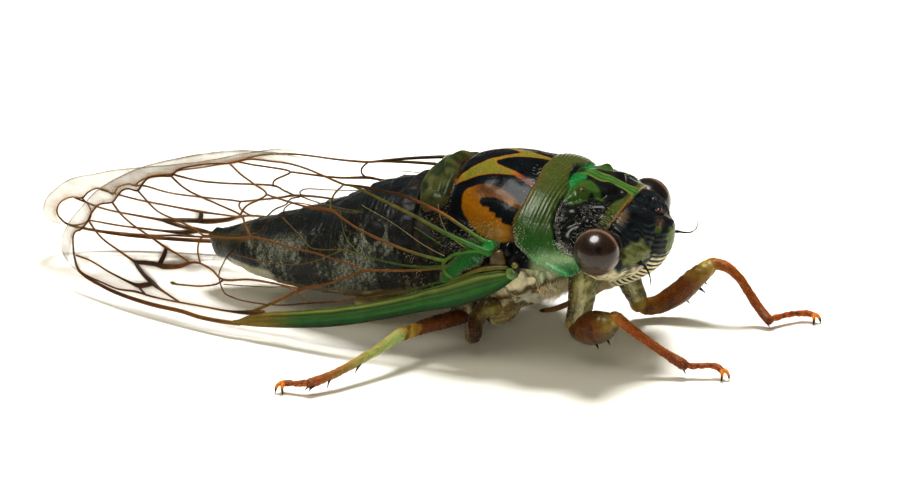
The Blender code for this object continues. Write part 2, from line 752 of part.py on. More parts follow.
def make_wings(trunk):
    forewing_plan = wing_plan(FOREWING_OUTLINE, FOREWING_VEINS, 1.6)
    hindwing_plan = wing_plan(HINDWING_OUTLINE, HINDWING_VEINS, 1.7)
    room = grown_whole(trunk)
    for side in SIDES:
        forewing = make_wing("forewing_" + side, side, forewing_plan)
        cut(forewing, [copy_of(room)])
        hindwing = make_wing("hindwing_" + side, side, hindwing_plan, HINDWING_INSET)
        cut(hindwing, [copy_of(room)])
        paint(forewing, (0.35, 0.25, 0.1), 0.2, 0.5)
        paint(hindwing, (0.4, 0.35, 0.2), 0.2, 0.5)
    bpy.data.objects.remove(room, do_unlink=True)


# Legs

def mirrored(stations, sign):
    return [(x, sign * y, z, radius) for x, y, z, radius in stations]


def trim_below_floor(obj):
    """Cut the feet off level, which leaves a small flat on the floor."""
    floor = box("floor_cut", (-40, -40, -5), (40, 40, 0))
    return cut(obj, [floor])


def claws(tip, heading, spread=0.16):
    """Two hooks from the last tarsal joint down to the floor."""
    tip, heading = Vector(tip), Vector(heading).normalized()
    side = Vector((-heading.y, heading.x, 0)).normalized()
    hooks = []
    for sign in (-1, 1):
        root = tip - heading * 0.15
        knee = tip + heading * 0.22 + side * sign * spread + Vector((0, 0, -0.05))
        point = tip + heading * 0.32 + side * sign * spread * 1.6
        point.z = -0.12
        hooks.append(tube("hook", [(*root, 0.16), (*knee, 0.2), (*point, 0.17)], 1))
    return hooks


# Each leg: stations (x, y, z, radius) of its coxa, femur, tibia and tarsus, with
# y positive outward, the femur's and tibia's spines (base, tip, radius).
FRONT_RIGHT = {
    "coxa": [(4.75, 2.3, 4.4, 0.75), (5.0, 2.75, 3.7, 0.72), (4.98, 3.1, 2.7, 0.6),
             (4.88, 3.25, 2.1, 0.55)],
    "femur": [(4.7, 3.2, 1.85, 0.5), (5.2, 3.35, 1.8, 0.72), (6.05, 3.6, 1.95, 0.85),
              (6.8, 3.8, 2.35, 0.62), (7.15, 3.88, 2.62, 0.38)],
    "femur_spines": [((5.9, 3.6, 1.5), (6.15, 3.62, 0.85), 0.2), ((6.5, 3.75, 1.8), (6.85, 3.8, 1.25), 0.2),
                     ((6.9, 3.85, 2.1), (7.15, 3.9, 1.7), 0.14)],
    "tibia": [(7.2, 3.9, 2.72, 0.33), (7.75, 3.92, 2.5, 0.3), (9.3, 3.85, 1.5, 0.25),
              (10.9, 3.78, 0.66, 0.26)],
    "tarsus": [(10.8, 3.78, 0.68, 0.24), (11.4, 3.6, 0.5, 0.22), (12.0, 3.35, 0.5, 0.2),
               (12.5, 3.2, 0.46, 0.2), (12.8, 3.3, 0.4, 0.18)],
    "tibia_spines": [],
    "heading": (0.55, 0.5, 0),
}

FRONT_LEFT = {
    "coxa": [(4.8, 2.2, 4.2, 0.72), (5.2, 2.55, 3.3, 0.7), (5.7, 2.8, 2.0, 0.6),
             (6.05, 3.0, 1.2, 0.52)],
    "femur": [(6.1, 3.05, 0.85, 0.45), (7.0, 3.6, 0.75, 0.52), (8.0, 4.2, 1.35, 0.58),
              (8.8, 4.65, 2.2, 0.52), (9.4, 4.95, 2.75, 0.38)],
    "femur_spines": [((8.6, 4.6, 1.8), (9.2, 4.7, 1.35), 0.18), ((8.0, 4.3, 1.1), (8.6, 4.4, 0.65), 0.18)],
    "tibia": [(9.5, 5.0, 2.82, 0.34), (10.3, 5.0, 2.8, 0.3), (11.0, 4.95, 2.3, 0.26),
              (11.9, 4.75, 1.1, 0.25), (12.85, 4.3, 0.4, 0.27)],
    "tarsus": [(12.8, 4.35, 0.42, 0.25), (13.3, 5.0, 0.42, 0.22), (13.8, 5.65, 0.42, 0.2),
               (14.4, 6.0, 0.4, 0.2), (14.8, 6.0, 0.36, 0.18)],
    "tibia_spines": [],
    "heading": (0.8, -0.6, 0),
}

MIDDLE = {
    "coxa": [(0.9, 2.3, 2.4, 0.75), (0.7, 2.95, 2.05, 0.8), (0.5, 3.5, 1.9, 0.68)],
    "femur": [(0.55, 3.75, 2.35, 0.45), (0.15, 4.05, 2.35, 0.43), (-0.15, 4.5, 1.85, 0.42),
              (-0.05, 4.9, 1.2, 0.35)],
    "femur_spines": [],
    "tibia": [(-0.15, 4.95, 1.0, 0.32), (-0.6, 4.3, 0.8, 0.28), (-1.0, 3.2, 0.62, 0.25),
              (-1.4, 2.2, 0.5, 0.25)],
    "tarsus": [(-1.4, 2.25, 0.5, 0.24), (-1.65, 1.75, 0.45, 0.2), (-1.9, 1.3, 0.4, 0.2),
               (-2.1, 1.0, 0.36, 0.18)],
    "tibia_spines": [],
    "heading": (-0.5, -0.8, 0),
}

HIND = {
    "coxa": [(-1.9, 2.0, 2.1, 0.75), (-1.5, 2.8, 1.95, 0.75), (-1.15, 3.4, 1.8, 0.55)],
    "femur": [(-1.2, 3.75, 1.6, 0.4), (-1.7, 4.6, 1.65, 0.42), (-2.5, 6.0, 1.68, 0.4),
              (-3.1, 7.35, 1.68, 0.36)],
    "femur_spines": [],
    "tibia": [(-3.2, 7.6, 1.75, 0.33), (-3.8, 9.0, 1.35, 0.27), (-4.9, 11.2, 0.9, 0.25),
              (-6.0, 12.7, 0.58, 0.26)],
    "tarsus": [(-5.95, 12.65, 0.6, 0.24), (-6.6, 12.8, 0.48, 0.2), (-7.1, 12.85, 0.42, 0.2),
               (-7.5, 12.95, 0.38, 0.18)],
    "tibia_spines": [((-4.3, 10.3, 1.05), (-4.35, 10.9, 0.6), 0.14),
                     ((-5.3, 11.9, 0.75), (-5.2, 12.5, 0.35), 0.14),
                     ((-5.4, 11.8, 0.8), (-5.95, 11.9, 0.45), 0.14)],
    "heading": (-0.25, 0.95, 0),
}


def make_leg(place, side, sizes, trunk):
    sign = SIDES[side]
    stem = "leg_" + place + "_" + side
    flip = Vector((1, sign, 1))
    coxa = tube(stem + "_coxa", mirrored(sizes["coxa"], sign))
    if place == "hind":
        tooth = spine("meracanthus", Vector((-1.5, 2.9, 1.8)) * flip,
                      Vector((-2.55, 3.2, 1.25)) * flip, 0.3)
        join(coxa, [tooth])
    clear_of(coxa, trunk)
    femur = tube(stem + "_femur", mirrored(sizes["femur"], sign))
    teeth = [spine("tooth", Vector(base) * flip, Vector(tip) * flip, radius)
             for base, tip, radius in sizes["femur_spines"]]
    if teeth:
        join(femur, teeth)
    clear_of(femur, [coxa, *trunk])
    shank = tube(stem + "_shank", mirrored(sizes["tibia"], sign))
    foot = mirrored(sizes["tarsus"], sign)
    pieces = [tube("tarsus", foot, 1)]
    pieces += claws(foot[-1][:3], Vector(sizes["heading"]) * flip)
    pieces += [spine("spur", Vector(base) * flip, Vector(tip) * flip, radius)
               for base, tip, radius in sizes["tibia_spines"]]
    join(shank, pieces)
    clear_of(shank, [femur])
    trim_below_floor(shank)
    paint(coxa, (0.25, 0.18, 0.08), 0.45)
    paint(femur, (0.3, 0.16, 0.06), 0.4)
    paint(shank, (0.35, 0.12, 0.04), 0.4)


def make_legs(trunk):
    make_leg("front", "right", FRONT_RIGHT, trunk)
    make_leg("front", "left", FRONT_LEFT, trunk)
    for side in SIDES:
        make_leg("middle", side, MIDDLE, trunk)
        make_leg("hind", side, HIND, trunk)


# The whole animal

def shade_and_centre():
    """Centre the model on the origin and shade the round pieces smooth."""
    for obj in PARTS.objects:
        obj.data.transform(Matrix.Translation((-MODEL_CENTRE_X * MM, 0, 0)))
        obj.data.shade_smooth()
        obj.data.set_sharp_from_angle(angle=math.radians(40))


def main():
    global PARTS, CUTTERS
    clear_scene()
    PARTS = new_collection("dog_day_cicada")
    CUTTERS = new_collection("cutters")
    eyes = make_eyes()
    pronotum = make_pronotum()
    clear_of(pronotum, eyes)
    mesonotum = make_mesonotum(pronotum)
    metanotum = make_metanotum(mesonotum)
    thorax = make_thorax()
    face = make_face()
    head = make_head(eyes, face, pronotum)
    clear_of(thorax, [head, face, pronotum])
    abdomen = make_abdomen([mesonotum, metanotum, thorax])
    tip = make_abdomen_tip()
    clear_of(tip, [abdomen])
    make_plates(abdomen)
    make_antennae(head, face)
    rostrum = make_rostrum(face, head, thorax)
    make_wings([pronotum, mesonotum, metanotum, thorax, abdomen])
    make_legs([thorax, head, face, rostrum, pronotum, abdomen, *eyes])
    shade_and_centre()


main()
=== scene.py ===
import math
import bpy
import numpy as np
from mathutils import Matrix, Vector


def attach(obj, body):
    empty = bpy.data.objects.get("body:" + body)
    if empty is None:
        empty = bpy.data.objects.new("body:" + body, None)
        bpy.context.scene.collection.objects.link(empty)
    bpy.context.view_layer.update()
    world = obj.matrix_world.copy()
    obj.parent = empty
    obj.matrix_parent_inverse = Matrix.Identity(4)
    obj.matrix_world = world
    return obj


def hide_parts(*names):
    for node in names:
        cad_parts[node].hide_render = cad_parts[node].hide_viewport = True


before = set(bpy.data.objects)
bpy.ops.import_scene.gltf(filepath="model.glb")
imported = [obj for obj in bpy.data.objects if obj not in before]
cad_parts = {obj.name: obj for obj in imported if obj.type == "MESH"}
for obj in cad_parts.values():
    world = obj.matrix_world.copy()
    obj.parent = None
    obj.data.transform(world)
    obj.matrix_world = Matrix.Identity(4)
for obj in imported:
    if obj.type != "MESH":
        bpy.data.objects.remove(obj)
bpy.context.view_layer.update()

# Units: the animal is laid out in millimetres, with x = 0 at the middle of the mesonotum

MM = 0.001
# From the layout's x to the frame's
ROW_SHIFT = 6.02
SIDES = {"right": -1, "left": 1}
# Height of the axis that angles down from the ridge are measured round, and the arc of one degree
WAIST = 5.0
ARC = 0.078


def tone(red, green, blue):
    """Linear colour of a screen colour given from 0 to 255."""
    part = np.array([red, green, blue]) / 255.0
    return np.where(part <= 0.04045, part / 12.92, ((part + 0.055) / 1.055) ** 2.4)


INK = tone(9, 13, 16)
BLUE_BLACK = tone(14, 24, 32)
OLIVE = tone(74, 84, 38)
OLIVE_BROWN = tone(104, 84, 44)
EMERALD = tone(26, 112, 54)
PALE_EMERALD = tone(60, 140, 88)
YELLOW_OLIVE = tone(140, 132, 56)
ORANGE = tone(166, 98, 28)
MAROON = tone(92, 48, 36)
DARK_BROWN = tone(48, 28, 16)
AMBER = tone(206, 128, 40)
CREAM = tone(214, 206, 172)
WAX = tone(200, 202, 190)
GREY_GREEN = tone(132, 146, 112)
BONE = tone(208, 202, 176)
SILVER = tone(206, 204, 196)
FILM = tone(150, 140, 110)


# Numbers along tables and over surfaces

def smooth(start, end, value):
    """Zero at start, one at end, with a soft rise between; start may be the larger."""
    part = np.clip((value - start) / (end - start), 0.0, 1.0)
    return part * part * (3.0 - 2.0 * part)


def close_to(value, centre, width):
    """A bell of height one round the centre."""
    return np.exp(-(((value - centre) / width) ** 2))


def mix(first, second, share):
    """Blend of two colours; share is one value for each point."""
    share = np.asarray(share)[..., None]
    return first * (1.0 - share) + second * share


def painted(tint, *coats):
    """A tint with other colours laid over it in turn, each as far as its share says."""
    for colour, share in coats:
        tint = mix(tint, colour, share)
    return tint


def through(table, places):
    """Catmull-Rom curve through the rows of a table, read at row numbers."""
    rows = np.asarray(table, float)
    rows = np.concatenate([[2 * rows[0] - rows[1]], rows, [2 * rows[-1] - rows[-2]]])
    left = np.clip(np.floor(places).astype(int), 0, len(rows) - 4)
    f = (places - left)[..., None]
    p0, p1, p2, p3 = (rows[left + k] for k in range(4))
    return 0.5 * (2 * p1 + (p2 - p0) * f + (2 * p0 - 5 * p1 + 4 * p2 - p3) * f ** 2
                  + (3 * p1 - p0 - 3 * p2 + p3) * f ** 3)


def blend(table, x):
    """Cubic Hermite curve through stations whose first value is x, level beyond both ends."""
    rows = np.asarray(table, float)
    knots, values = rows[:, 0], rows[:, 1:]
    slope = np.gradient(values, knots, axis=0)
    slope[[0, -1]] = 0.0
    x = np.clip(x, knots[0], knots[-1])
    left = np.clip(np.searchsorted(knots, x, side="right") - 1, 0, len(knots) - 2)
    span = knots[left + 1] - knots[left]
    t = ((x - knots[left]) / span)[..., None]
    span = span[..., None]
    return ((2 * t ** 3 - 3 * t ** 2 + 1) * values[left] + (t ** 3 - 2 * t ** 2 + t) * span * slope[left]
            + (3 * t ** 2 - 2 * t ** 3) * values[left + 1] + (t ** 3 - t ** 2) * span * slope[left + 1])


def ripple(points, period, seed):
    """Smooth unevenness of about one: eight sine waves in seeded directions, added up."""
    rng = np.random.default_rng(seed)
    ways = rng.normal(size=(8, 3))
    ways /= np.linalg.norm(ways, axis=1, keepdims=True) * period * rng.uniform(0.7, 1.5, (8, 1))
    return np.sin(points @ ways.T * 2 * np.pi + rng.uniform(0, 2 * np.pi, 8)).sum(-1) / 2.6


def patch(points, centre, radii, edge=0.25, seed=1):
    """One inside an oval region on the left and its mirror image, with a soft, uneven edge."""
    folded = points * (1, 0, 1) + np.abs(points) * (0, 1, 0)
    reach = np.linalg.norm((folded - centre) / radii, axis=-1)
    return smooth(1 + edge, 1 - edge, reach + 0.12 * ripple(points, 0.5, seed))


def segment(x, y, start, end):
    """Distance of each point from a segment, and its share of the way along."""
    (ax, ay), (bx, by) = start, end
    share = ((x - ax) * (bx - ax) + (y - ay) * (by - ay)) / ((bx - ax) ** 2 + (by - ay) ** 2)
    share = np.clip(share, 0, 1)
    return np.hypot(x - ax - share * (bx - ax), y - ay - share * (by - ay)), share


def path_distance(x, y, path):
    """Distance of each point from a path; a station's first two values are its place."""
    return np.min([segment(x, y, a[:2], b[:2])[0] for a, b in zip(path, path[1:])], axis=0)


def outline_mask(x, side, outline, soft=0.04):
    """One inside a smooth closed outline through (x, angle) points on a notum, soft at the edge."""
    ring = np.array([outline[-1], *outline, outline[0]], float)
    ring = through(ring, np.linspace(1, len(outline) + 1, len(outline) * 5, endpoint=False))
    corners = ring * (1, ARC)
    height = side * ARC
    nearest = np.full(x.shape, np.inf)
    inside = np.zeros(x.shape, bool)
    for (ax, ay), (bx, by) in zip(corners, np.roll(corners, -1, axis=0)):
        nearest = np.minimum(nearest, segment(x, height, (ax, ay), (bx, by))[0])
        if ay != by:
            inside ^= ((ay > height) != (by > height)) & (x < (bx - ax) * (height - ay) / (by - ay) + ax)
    return smooth(-soft, soft, np.where(inside, nearest, -nearest))


def stacked(*values):
    """Points or chart places from three coordinates of any matching shapes."""
    return np.stack(np.broadcast_arrays(*values), -1)


# Surfaces as grids of points

def grid_normals(grid):
    """Outward direction at each point of a grid that closes round its rows."""
    around = np.roll(grid, -1, 1) - np.roll(grid, 1, 1)
    normal = np.cross(np.gradient(grid, axis=0), around)
    normal /= np.maximum(np.linalg.norm(normal, axis=-1, keepdims=True), 1e-9)
    outward = ((grid - grid.mean(axis=1, keepdims=True)) * normal).sum()
    return normal if outward > 0 else -normal


def per_point(value, shape):
    """A value at each point of a grid, from one number, one colour, one row or a full grid."""
    value = np.asarray(value, float)
    if value.ndim == 2:
        value = value[..., None]
    return np.broadcast_to(value, (*shape, value.shape[-1] if value.ndim else 1))


def skin(grid, wrap=True, **values):
    """Faces over a grid of points; a wrapped grid closes round, and its ends close with fans."""
    rows, around = grid.shape[:2]
    index = np.arange(rows * around).reshape(rows, around)
    start = index if wrap else index[:, :-1]
    step = np.roll(index, -1, 1) if wrap else index[:, 1:]
    quads = np.stack([start[:-1], step[:-1], step[1:], start[1:]], -1).reshape(-1, 4)
    points = grid.reshape(-1, 3)
    made = {key: per_point(value, (rows, around)) for key, value in values.items()}
    tris = np.zeros((0, 3), int)
    if wrap:
        first, last = rows * around, rows * around + 1
        points = np.concatenate([points, grid[[0, -1]].mean(axis=1)])
        tris = np.concatenate([
            np.stack([index[0], np.full(around, first), step[0]], -1),
            np.stack([index[-1], step[-1], np.full(around, last)], -1)])
        made = {key: np.concatenate([value.reshape(rows * around, -1), value[[0, -1]].mean(axis=1)])
                for key, value in made.items()}
    made = {key: value.reshape(len(points), -1) for key, value in made.items()}
    part = {"points": points, "quads": quads, "tris": tris, "values": made}
    return turned_out(part) if wrap else part


def turned_out(part):
    """The part with its faces turned so that the volume they hold is positive."""
    corners = part["points"] - part["points"].mean(axis=0)
    fans = np.concatenate([part["quads"][:, [0, 1, 2]], part["quads"][:, [0, 2, 3]], part["tris"]])
    a, b, c = (corners[fans[:, k]] for k in range(3))
    if (a * np.cross(b, c)).sum() < 0:
        part["quads"] = part["quads"][:, ::-1]
        part["tris"] = part["tris"][:, ::-1]
    return part


def turning_frames(path):
    """Two cross directions at each point of a path, carried along with least twist."""
    tangents = np.gradient(path, axis=0)
    tangents /= np.linalg.norm(tangents, axis=1, keepdims=True)
    first = np.cross(tangents[0], (0.0, 0.0, 1.0))
    if np.linalg.norm(first) < 0.2:
        first = np.cross(tangents[0], (0.0, 1.0, 0.0))
    sides = []
    for tangent in tangents:
        first = first - tangent * (first @ tangent)
        first = first / np.linalg.norm(first)
        sides.append(first)
    sides = np.array(sides)
    return sides, np.cross(tangents, sides)


def tube_grid(stations, sides, steps, round_ends=True):
    """Rings round a Catmull-Rom path of (x, y, z, radius) stations: rings, places and length."""
    count = (len(stations) - 1) * steps + 1
    curve = through(stations, np.linspace(0, len(stations) - 1, count))
    path, radius = curve[:, :3], np.maximum(curve[:, 3], 0.004)
    if round_ends:
        ends = np.array([0.25, 0.6, 0.85])
        lead = (path[0] - path[1]) / np.linalg.norm(path[0] - path[1]) * radius[0]
        tail = (path[-1] - path[-2]) / np.linalg.norm(path[-1] - path[-2]) * radius[-1]
        drop = np.sqrt(1 - ends ** 2)
        path = np.concatenate([path[0] + lead * drop[:, None] * 0.8, path,
                               path[-1] + tail * drop[::-1, None] * 0.8])
        radius = np.concatenate([radius[0] * ends, radius, radius[-1] * ends[::-1]])
    across, up = turning_frames(path)
    angle = np.linspace(0, 2 * np.pi, sides, endpoint=False)[None, :, None]
    ring = across[:, None] * np.cos(angle) + up[:, None] * np.sin(angle)
    grid = path[:, None] + ring * radius[:, None, None]
    lengths = np.concatenate([[0], np.cumsum(np.linalg.norm(np.diff(path, axis=0), axis=1))])
    return grid, lengths / lengths[-1], lengths[-1]


def swelled(grid, size):
    """Rings made wider or narrower round their middles, each by its own share."""
    centre = grid.mean(axis=1, keepdims=True)
    return centre + (grid - centre) * size[:, None, None]


def ball_grid(rows, around, gap):
    """Unit sphere as rings from its top to its bottom, open by a small angle at both."""
    fall = np.linspace(gap, np.pi - gap, rows)[:, None]
    turn = np.linspace(0, 2 * np.pi, around, endpoint=False)
    return stacked(np.sin(fall) * np.cos(turn), np.sin(fall) * np.sin(turn), np.cos(fall))


def joined(parts):
    """Several parts as one, with the values that a part lacks set to zero."""
    widths = {}
    for part in parts:
        for key, value in part["values"].items():
            widths[key] = value.shape[1]
    starts = np.cumsum([0] + [len(p["points"]) for p in parts])
    return {
        "points": np.concatenate([p["points"] for p in parts]),
        "quads": np.concatenate([p["quads"] + s for p, s in zip(parts, starts)]),
        "tris": np.concatenate([p["tris"] + s for p, s in zip(parts, starts)]),
        "values": {k: np.concatenate([p["values"].get(k, np.zeros((len(p["points"]), w)))
                                      for p in parts]) for k, w in widths.items()},
    }


def set_layer(mesh, key, kind, field, values):
    """One value for each point of a mesh, under the name that its material reads."""
    layer = mesh.attributes.new(key, kind, "POINT")
    layer.data.foreach_set(field, values.astype(np.float32).ravel())


def make_piece(name, parts, material, nodes=()):
    """One mesh object from parts laid out in millimetres, set in the row frame in metres."""
    part = joined(parts)
    points = (part["points"] + (ROW_SHIFT, 0, 0)) * MM
    corners = np.concatenate([part["quads"].ravel(), part["tris"].ravel()]).astype(np.int32)
    sizes = np.concatenate([np.full(len(part["quads"]), 4), np.full(len(part["tris"]), 3)])
    mesh = bpy.data.meshes.new(name)
    mesh.vertices.add(len(points))
    mesh.vertices.foreach_set("co", points.astype(np.float32).ravel())
    mesh.loops.add(len(corners))
    mesh.loops.foreach_set("vertex_index", corners)
    mesh.polygons.add(len(sizes))
    mesh.polygons.foreach_set("loop_start", (np.cumsum(sizes) - sizes).astype(np.int32))
    mesh.polygons.foreach_set("use_smooth", np.ones(len(sizes), bool))
    mesh.update(calc_edges=True)
    for key, value in part["values"].items():
        if key == "flat":
            layer = mesh.uv_layers.new(name="OFBake")
            layer.data.foreach_set("uv", value[corners].astype(np.float32).ravel())
        elif key == "tint":
            full = np.concatenate([np.clip(value, 0, 1), np.ones((len(value), 1))], axis=1)
            set_layer(mesh, key, "FLOAT_COLOR", "color", full)
        elif value.shape[1] == 3:
            set_layer(mesh, key, "FLOAT_VECTOR", "vector", value)
        else:
            set_layer(mesh, key, "FLOAT", "value", value)
    mesh.materials.append(material)
    piece = bpy.data.objects.new(name, mesh)
    bpy.context.scene.collection.objects.link(piece)
    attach(piece, "root")
    if nodes:
        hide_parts(*nodes)


# Hair: each tuft is a bent three-sided blade on a root, with its own place on the skin's unwrap

def scatter(grid, weight, count, seed):
    """Seeded roots over a grid, as many in each cell as its weight and area ask for."""
    rng = np.random.default_rng(seed)
    normals = grid_normals(grid)
    rows, around = grid.shape[:2]
    lengths = np.linalg.norm(np.gradient(grid, axis=0), axis=-1)
    widths = np.linalg.norm(np.roll(grid, -1, 1) - grid, axis=-1)
    share = (np.clip(weight, 0, None) * lengths * widths)[:-1].ravel()
    picked = rng.choice(share.size, size=count, p=share / share.sum())
    row, column = np.divmod(picked, around)
    down, right = rng.random((2, count, 1))
    beside = (column + 1) % around
    root = ((grid[row, column] * (1 - down) + grid[row + 1, column] * down) * (1 - right)
            + (grid[row, beside] * (1 - down) + grid[row + 1, beside] * down) * right)
    place = np.stack([(row + down[:, 0]) / rows, (column + right[:, 0]) / around], -1)
    return root, normals[row, column], place, rng


# The three rings of a blade: places along it, girths, and the directions of their corners
BLADE_LEVELS = np.array([-0.12, 0.35, 0.72])
BLADE_GIRTHS = np.array([1.0, 0.8, 0.45])
BLADE_CORNERS = np.array([0.0, 2.1, 4.2])
# How far a blade bends back to the skin
BLADE_BEND = 0.3
# Where its nine ring points and its tip lie in its own small square of the unwrap
BLADE_UNWRAP = [(0, 0), (1, 0), (0.5, 0.3), (0, 0.4), (1, 0.4), (0.5, 0.6), (0.1, 0.8), (0.9, 0.8),
                (0.5, 0.9), (0.5, 1.0)]
SQUARE = 0.003


def tufts(root, normal, lean, length, width, colour, place, rng, stand):
    """Blades on the roots: each leans its own way, stands by its share and bends back to the skin."""
    count = len(root)
    lean = lean - normal * (lean * normal).sum(-1, keepdims=True)
    lean /= np.maximum(np.linalg.norm(lean, axis=-1, keepdims=True), 1e-6)
    side = np.cross(normal, lean)
    turn = rng.normal(0, 0.35, (count, 1))
    lean = lean * np.cos(turn) + side * np.sin(turn)
    side = np.cross(normal, lean)
    length = (length * rng.uniform(0.6, 1.25, count))[:, None, None]
    levels = BLADE_LEVELS[None, :, None]
    rise = (stand * levels - BLADE_BEND * np.clip(levels, 0, 1) ** 2) * length
    run = levels * length * math.sqrt(max(1 - stand ** 2, 0.1))
    spine = root[:, None] + normal[:, None] * rise + lean[:, None] * run
    tip = root + normal * (stand - BLADE_BEND) * length[:, 0] + lean * length[:, 0] * 0.95
    angle = BLADE_CORNERS[:, None]
    ring = side[:, None, None] * np.cos(angle) + normal[:, None, None] * np.sin(angle)
    body = spine[:, :, None] + ring * (BLADE_GIRTHS[None, :, None, None] * width)
    points = np.concatenate([body.reshape(count, 9, 3), tip[:, None]], axis=1).reshape(-1, 3)
    faces = []
    for level in range(2):
        for k in range(3):
            a, b = level * 3 + k, level * 3 + (k + 1) % 3
            faces += [(a, b, b + 3), (a, b + 3, a + 3)]
    faces += [(6 + k, 6 + (k + 1) % 3, 9) for k in range(3)]
    faces.append((2, 1, 0))
    tris = (np.array(faces)[None] + np.arange(count)[:, None, None] * 10).reshape(-1, 3)
    flat = np.clip(place[:, None] * 0.99 + np.array(BLADE_UNWRAP) * SQUARE, 0, 1).reshape(-1, 2)
    shade = colour * rng.uniform(0.7, 1.15, (count, 1))
    return {"points": points, "quads": np.zeros((0, 4), int), "tris": tris,
            "values": {"tint": np.repeat(shade, 10, axis=0), "flat": flat}}


# Materials

def wire(tree, target, inputs):
    """Each named input of a node, linked to a socket or set to a constant."""
    for key, value in inputs.items():
        if isinstance(value, bpy.types.NodeSocket):
            tree.links.new(value, target.inputs[key])
        else:
            target.inputs[key].default_value = value


def node(tree, kind, inputs, output=0, **settings):
    """The chosen output of a new shader node with its settings and inputs."""
    made = tree.nodes.new("ShaderNode" + kind)
    for key, value in settings.items():
        setattr(made, key, value)
    wire(tree, made, inputs)
    return made.outputs[output]


def attribute(tree, name, output="Fac"):
    """A value that the mesh carries at its points."""
    return node(tree, "Attribute", {}, output, attribute_name=name)


def noise(tree, scale, detail=2.0):
    """Cloudy value from 0 to 1 in the object's own space; a scale of 1000 is one a millimetre."""
    place = node(tree, "TexCoord", {}, "Object")
    return node(tree, "TexNoise", {"Vector": place, "Scale": scale, "Detail": detail})


def cells(tree, scale):
    """Distance from the middle of the nearest of many small cells."""
    place = node(tree, "TexCoord", {}, "Object")
    return node(tree, "TexVoronoi", {"Vector": place, "Scale": scale}, "Distance")


def maths(tree, operation, first, second):
    """Two values added or multiplied."""
    return node(tree, "Math", {0: first, 1: second}, operation=operation)


def spread(tree, value, low, high, start=0.25, end=0.75):
    """A value between start and end stretched over low to high."""
    return node(tree, "MapRange", {"Value": value, "From Min": start, "From Max": end,
                                   "To Min": low, "To Max": high})


def shaded(tree, value):
    """The mesh's own tint, made paler and darker by a value round one."""
    return node(tree, "HueSaturation", {"Value": value, "Color": attribute(tree, "tint", "Color")})


def bump(tree, height, strength, distance, **under):
    """Normal for a height field, laid over another normal where one is given."""
    return node(tree, "Bump", {"Height": height, "Strength": strength, "Distance": distance, **under})


def cuticle_group():
    """Mottled colour, uneven gloss and pitted, finely lined relief of hard skin."""
    tree = bpy.data.node_groups.new("cuticle_detail", "ShaderNodeTree")
    for label, kind in (("Tint", "Color"), ("Chart", "Vector"), ("Wax", "Float"), ("Relief", "Float")):
        tree.interface.new_socket(label, in_out="INPUT", socket_type="NodeSocket" + kind)
    for label, kind in (("Colour", "Color"), ("Roughness", "Float"), ("Normal", "Vector")):
        tree.interface.new_socket(label, in_out="OUTPUT", socket_type="NodeSocket" + kind)
    given = tree.nodes.new("NodeGroupInput").outputs
    result = tree.nodes.new("NodeGroupOutput")
    broad, fine, pits = noise(tree, 1900.0, 4.0), noise(tree, 9000.0, 3.0), cells(tree, 7000.0)
    stretch = node(tree, "VectorMath", {0: given["Chart"], 1: (7.5, 0.55, 1.0)}, operation="MULTIPLY")
    lines = node(tree, "TexNoise", {"Vector": stretch, "Scale": 1.0, "Detail": 3.0, "Distortion": 0.35})
    value = spread(tree, maths(tree, "ADD", broad, fine), 0.82, 1.18, 0.7, 1.3)
    hue = spread(tree, lines, 0.493, 0.507)
    dull = maths(tree, "MULTIPLY", given["Wax"], spread(tree, broad, 0.3, 0.6))
    normal = bump(tree, lines, given["Relief"], 0.00005)
    normal = bump(tree, pits, 0.35, 0.000016, Normal=normal)
    wire(tree, result, {
        "Colour": node(tree, "HueSaturation", {"Hue": hue, "Value": value, "Color": given["Tint"]}),
        "Roughness": maths(tree, "ADD", dull, spread(tree, fine, 0.16, 0.34)),
        "Normal": bump(tree, broad, 0.5, 0.00004, Normal=normal)})
    return tree


CUTICLE = cuticle_group()


def new_material(name):
    """An empty material: its tree, its Principled shader and the material itself."""
    made = bpy.data.materials.new(name)
    made.use_nodes = True
    return made.node_tree, made.node_tree.nodes["Principled BSDF"], made


def cuticle_material(name, coat, coat_roughness, relief, gloss):
    """Hard skin coloured by the piece's own tint, with the shared fine detail."""
    tree, shader, made = new_material(name)
    detail = tree.nodes.new("ShaderNodeGroup")
    detail.node_tree = CUTICLE
    wire(tree, detail, {"Tint": attribute(tree, "tint", "Color"),
                        "Chart": attribute(tree, "chart", "Vector"),
                        "Wax": attribute(tree, "wax"),
                        "Relief": maths(tree, "ADD", attribute(tree, "lined"), relief)})
    wire(tree, shader, {"Base Color": detail.outputs["Colour"], "Roughness": detail.outputs["Roughness"],
                        "Normal": detail.outputs["Normal"], "Coat Weight": coat,
                        "Coat Roughness": coat_roughness, "Specular IOR Level": gloss})
    return made


def hair_material():
    """Silky hair in its own tint, paler and darker along its length."""
    tree, shader, made = new_material("hair")
    streak = noise(tree, 5000.0)
    wire(tree, shader, {"Base Color": shaded(tree, spread(tree, streak, 0.75, 1.3)),
                        "Roughness": spread(tree, streak, 0.25, 0.45), "Sheen Weight": 0.3})
    return made


def eye_material():
    """Smooth cornea over grey-brown: high gloss, faint facet grain, tint from the eye's own colours."""
    tree, shader, made = new_material("eye")
    facets, cloud = cells(tree, 16000.0), noise(tree, 1500.0, 3.0)
    wire(tree, shader, {"Base Color": shaded(tree, spread(tree, cloud, 0.85, 1.15)),
                        "Normal": bump(tree, facets, 0.12, 0.00001),
                        "Roughness": spread(tree, facets, 0.22, 0.3, 0.0, 0.6),
                        "Coat Weight": 1.0, "Coat Roughness": 0.05, "Coat IOR": 1.33})
    return made


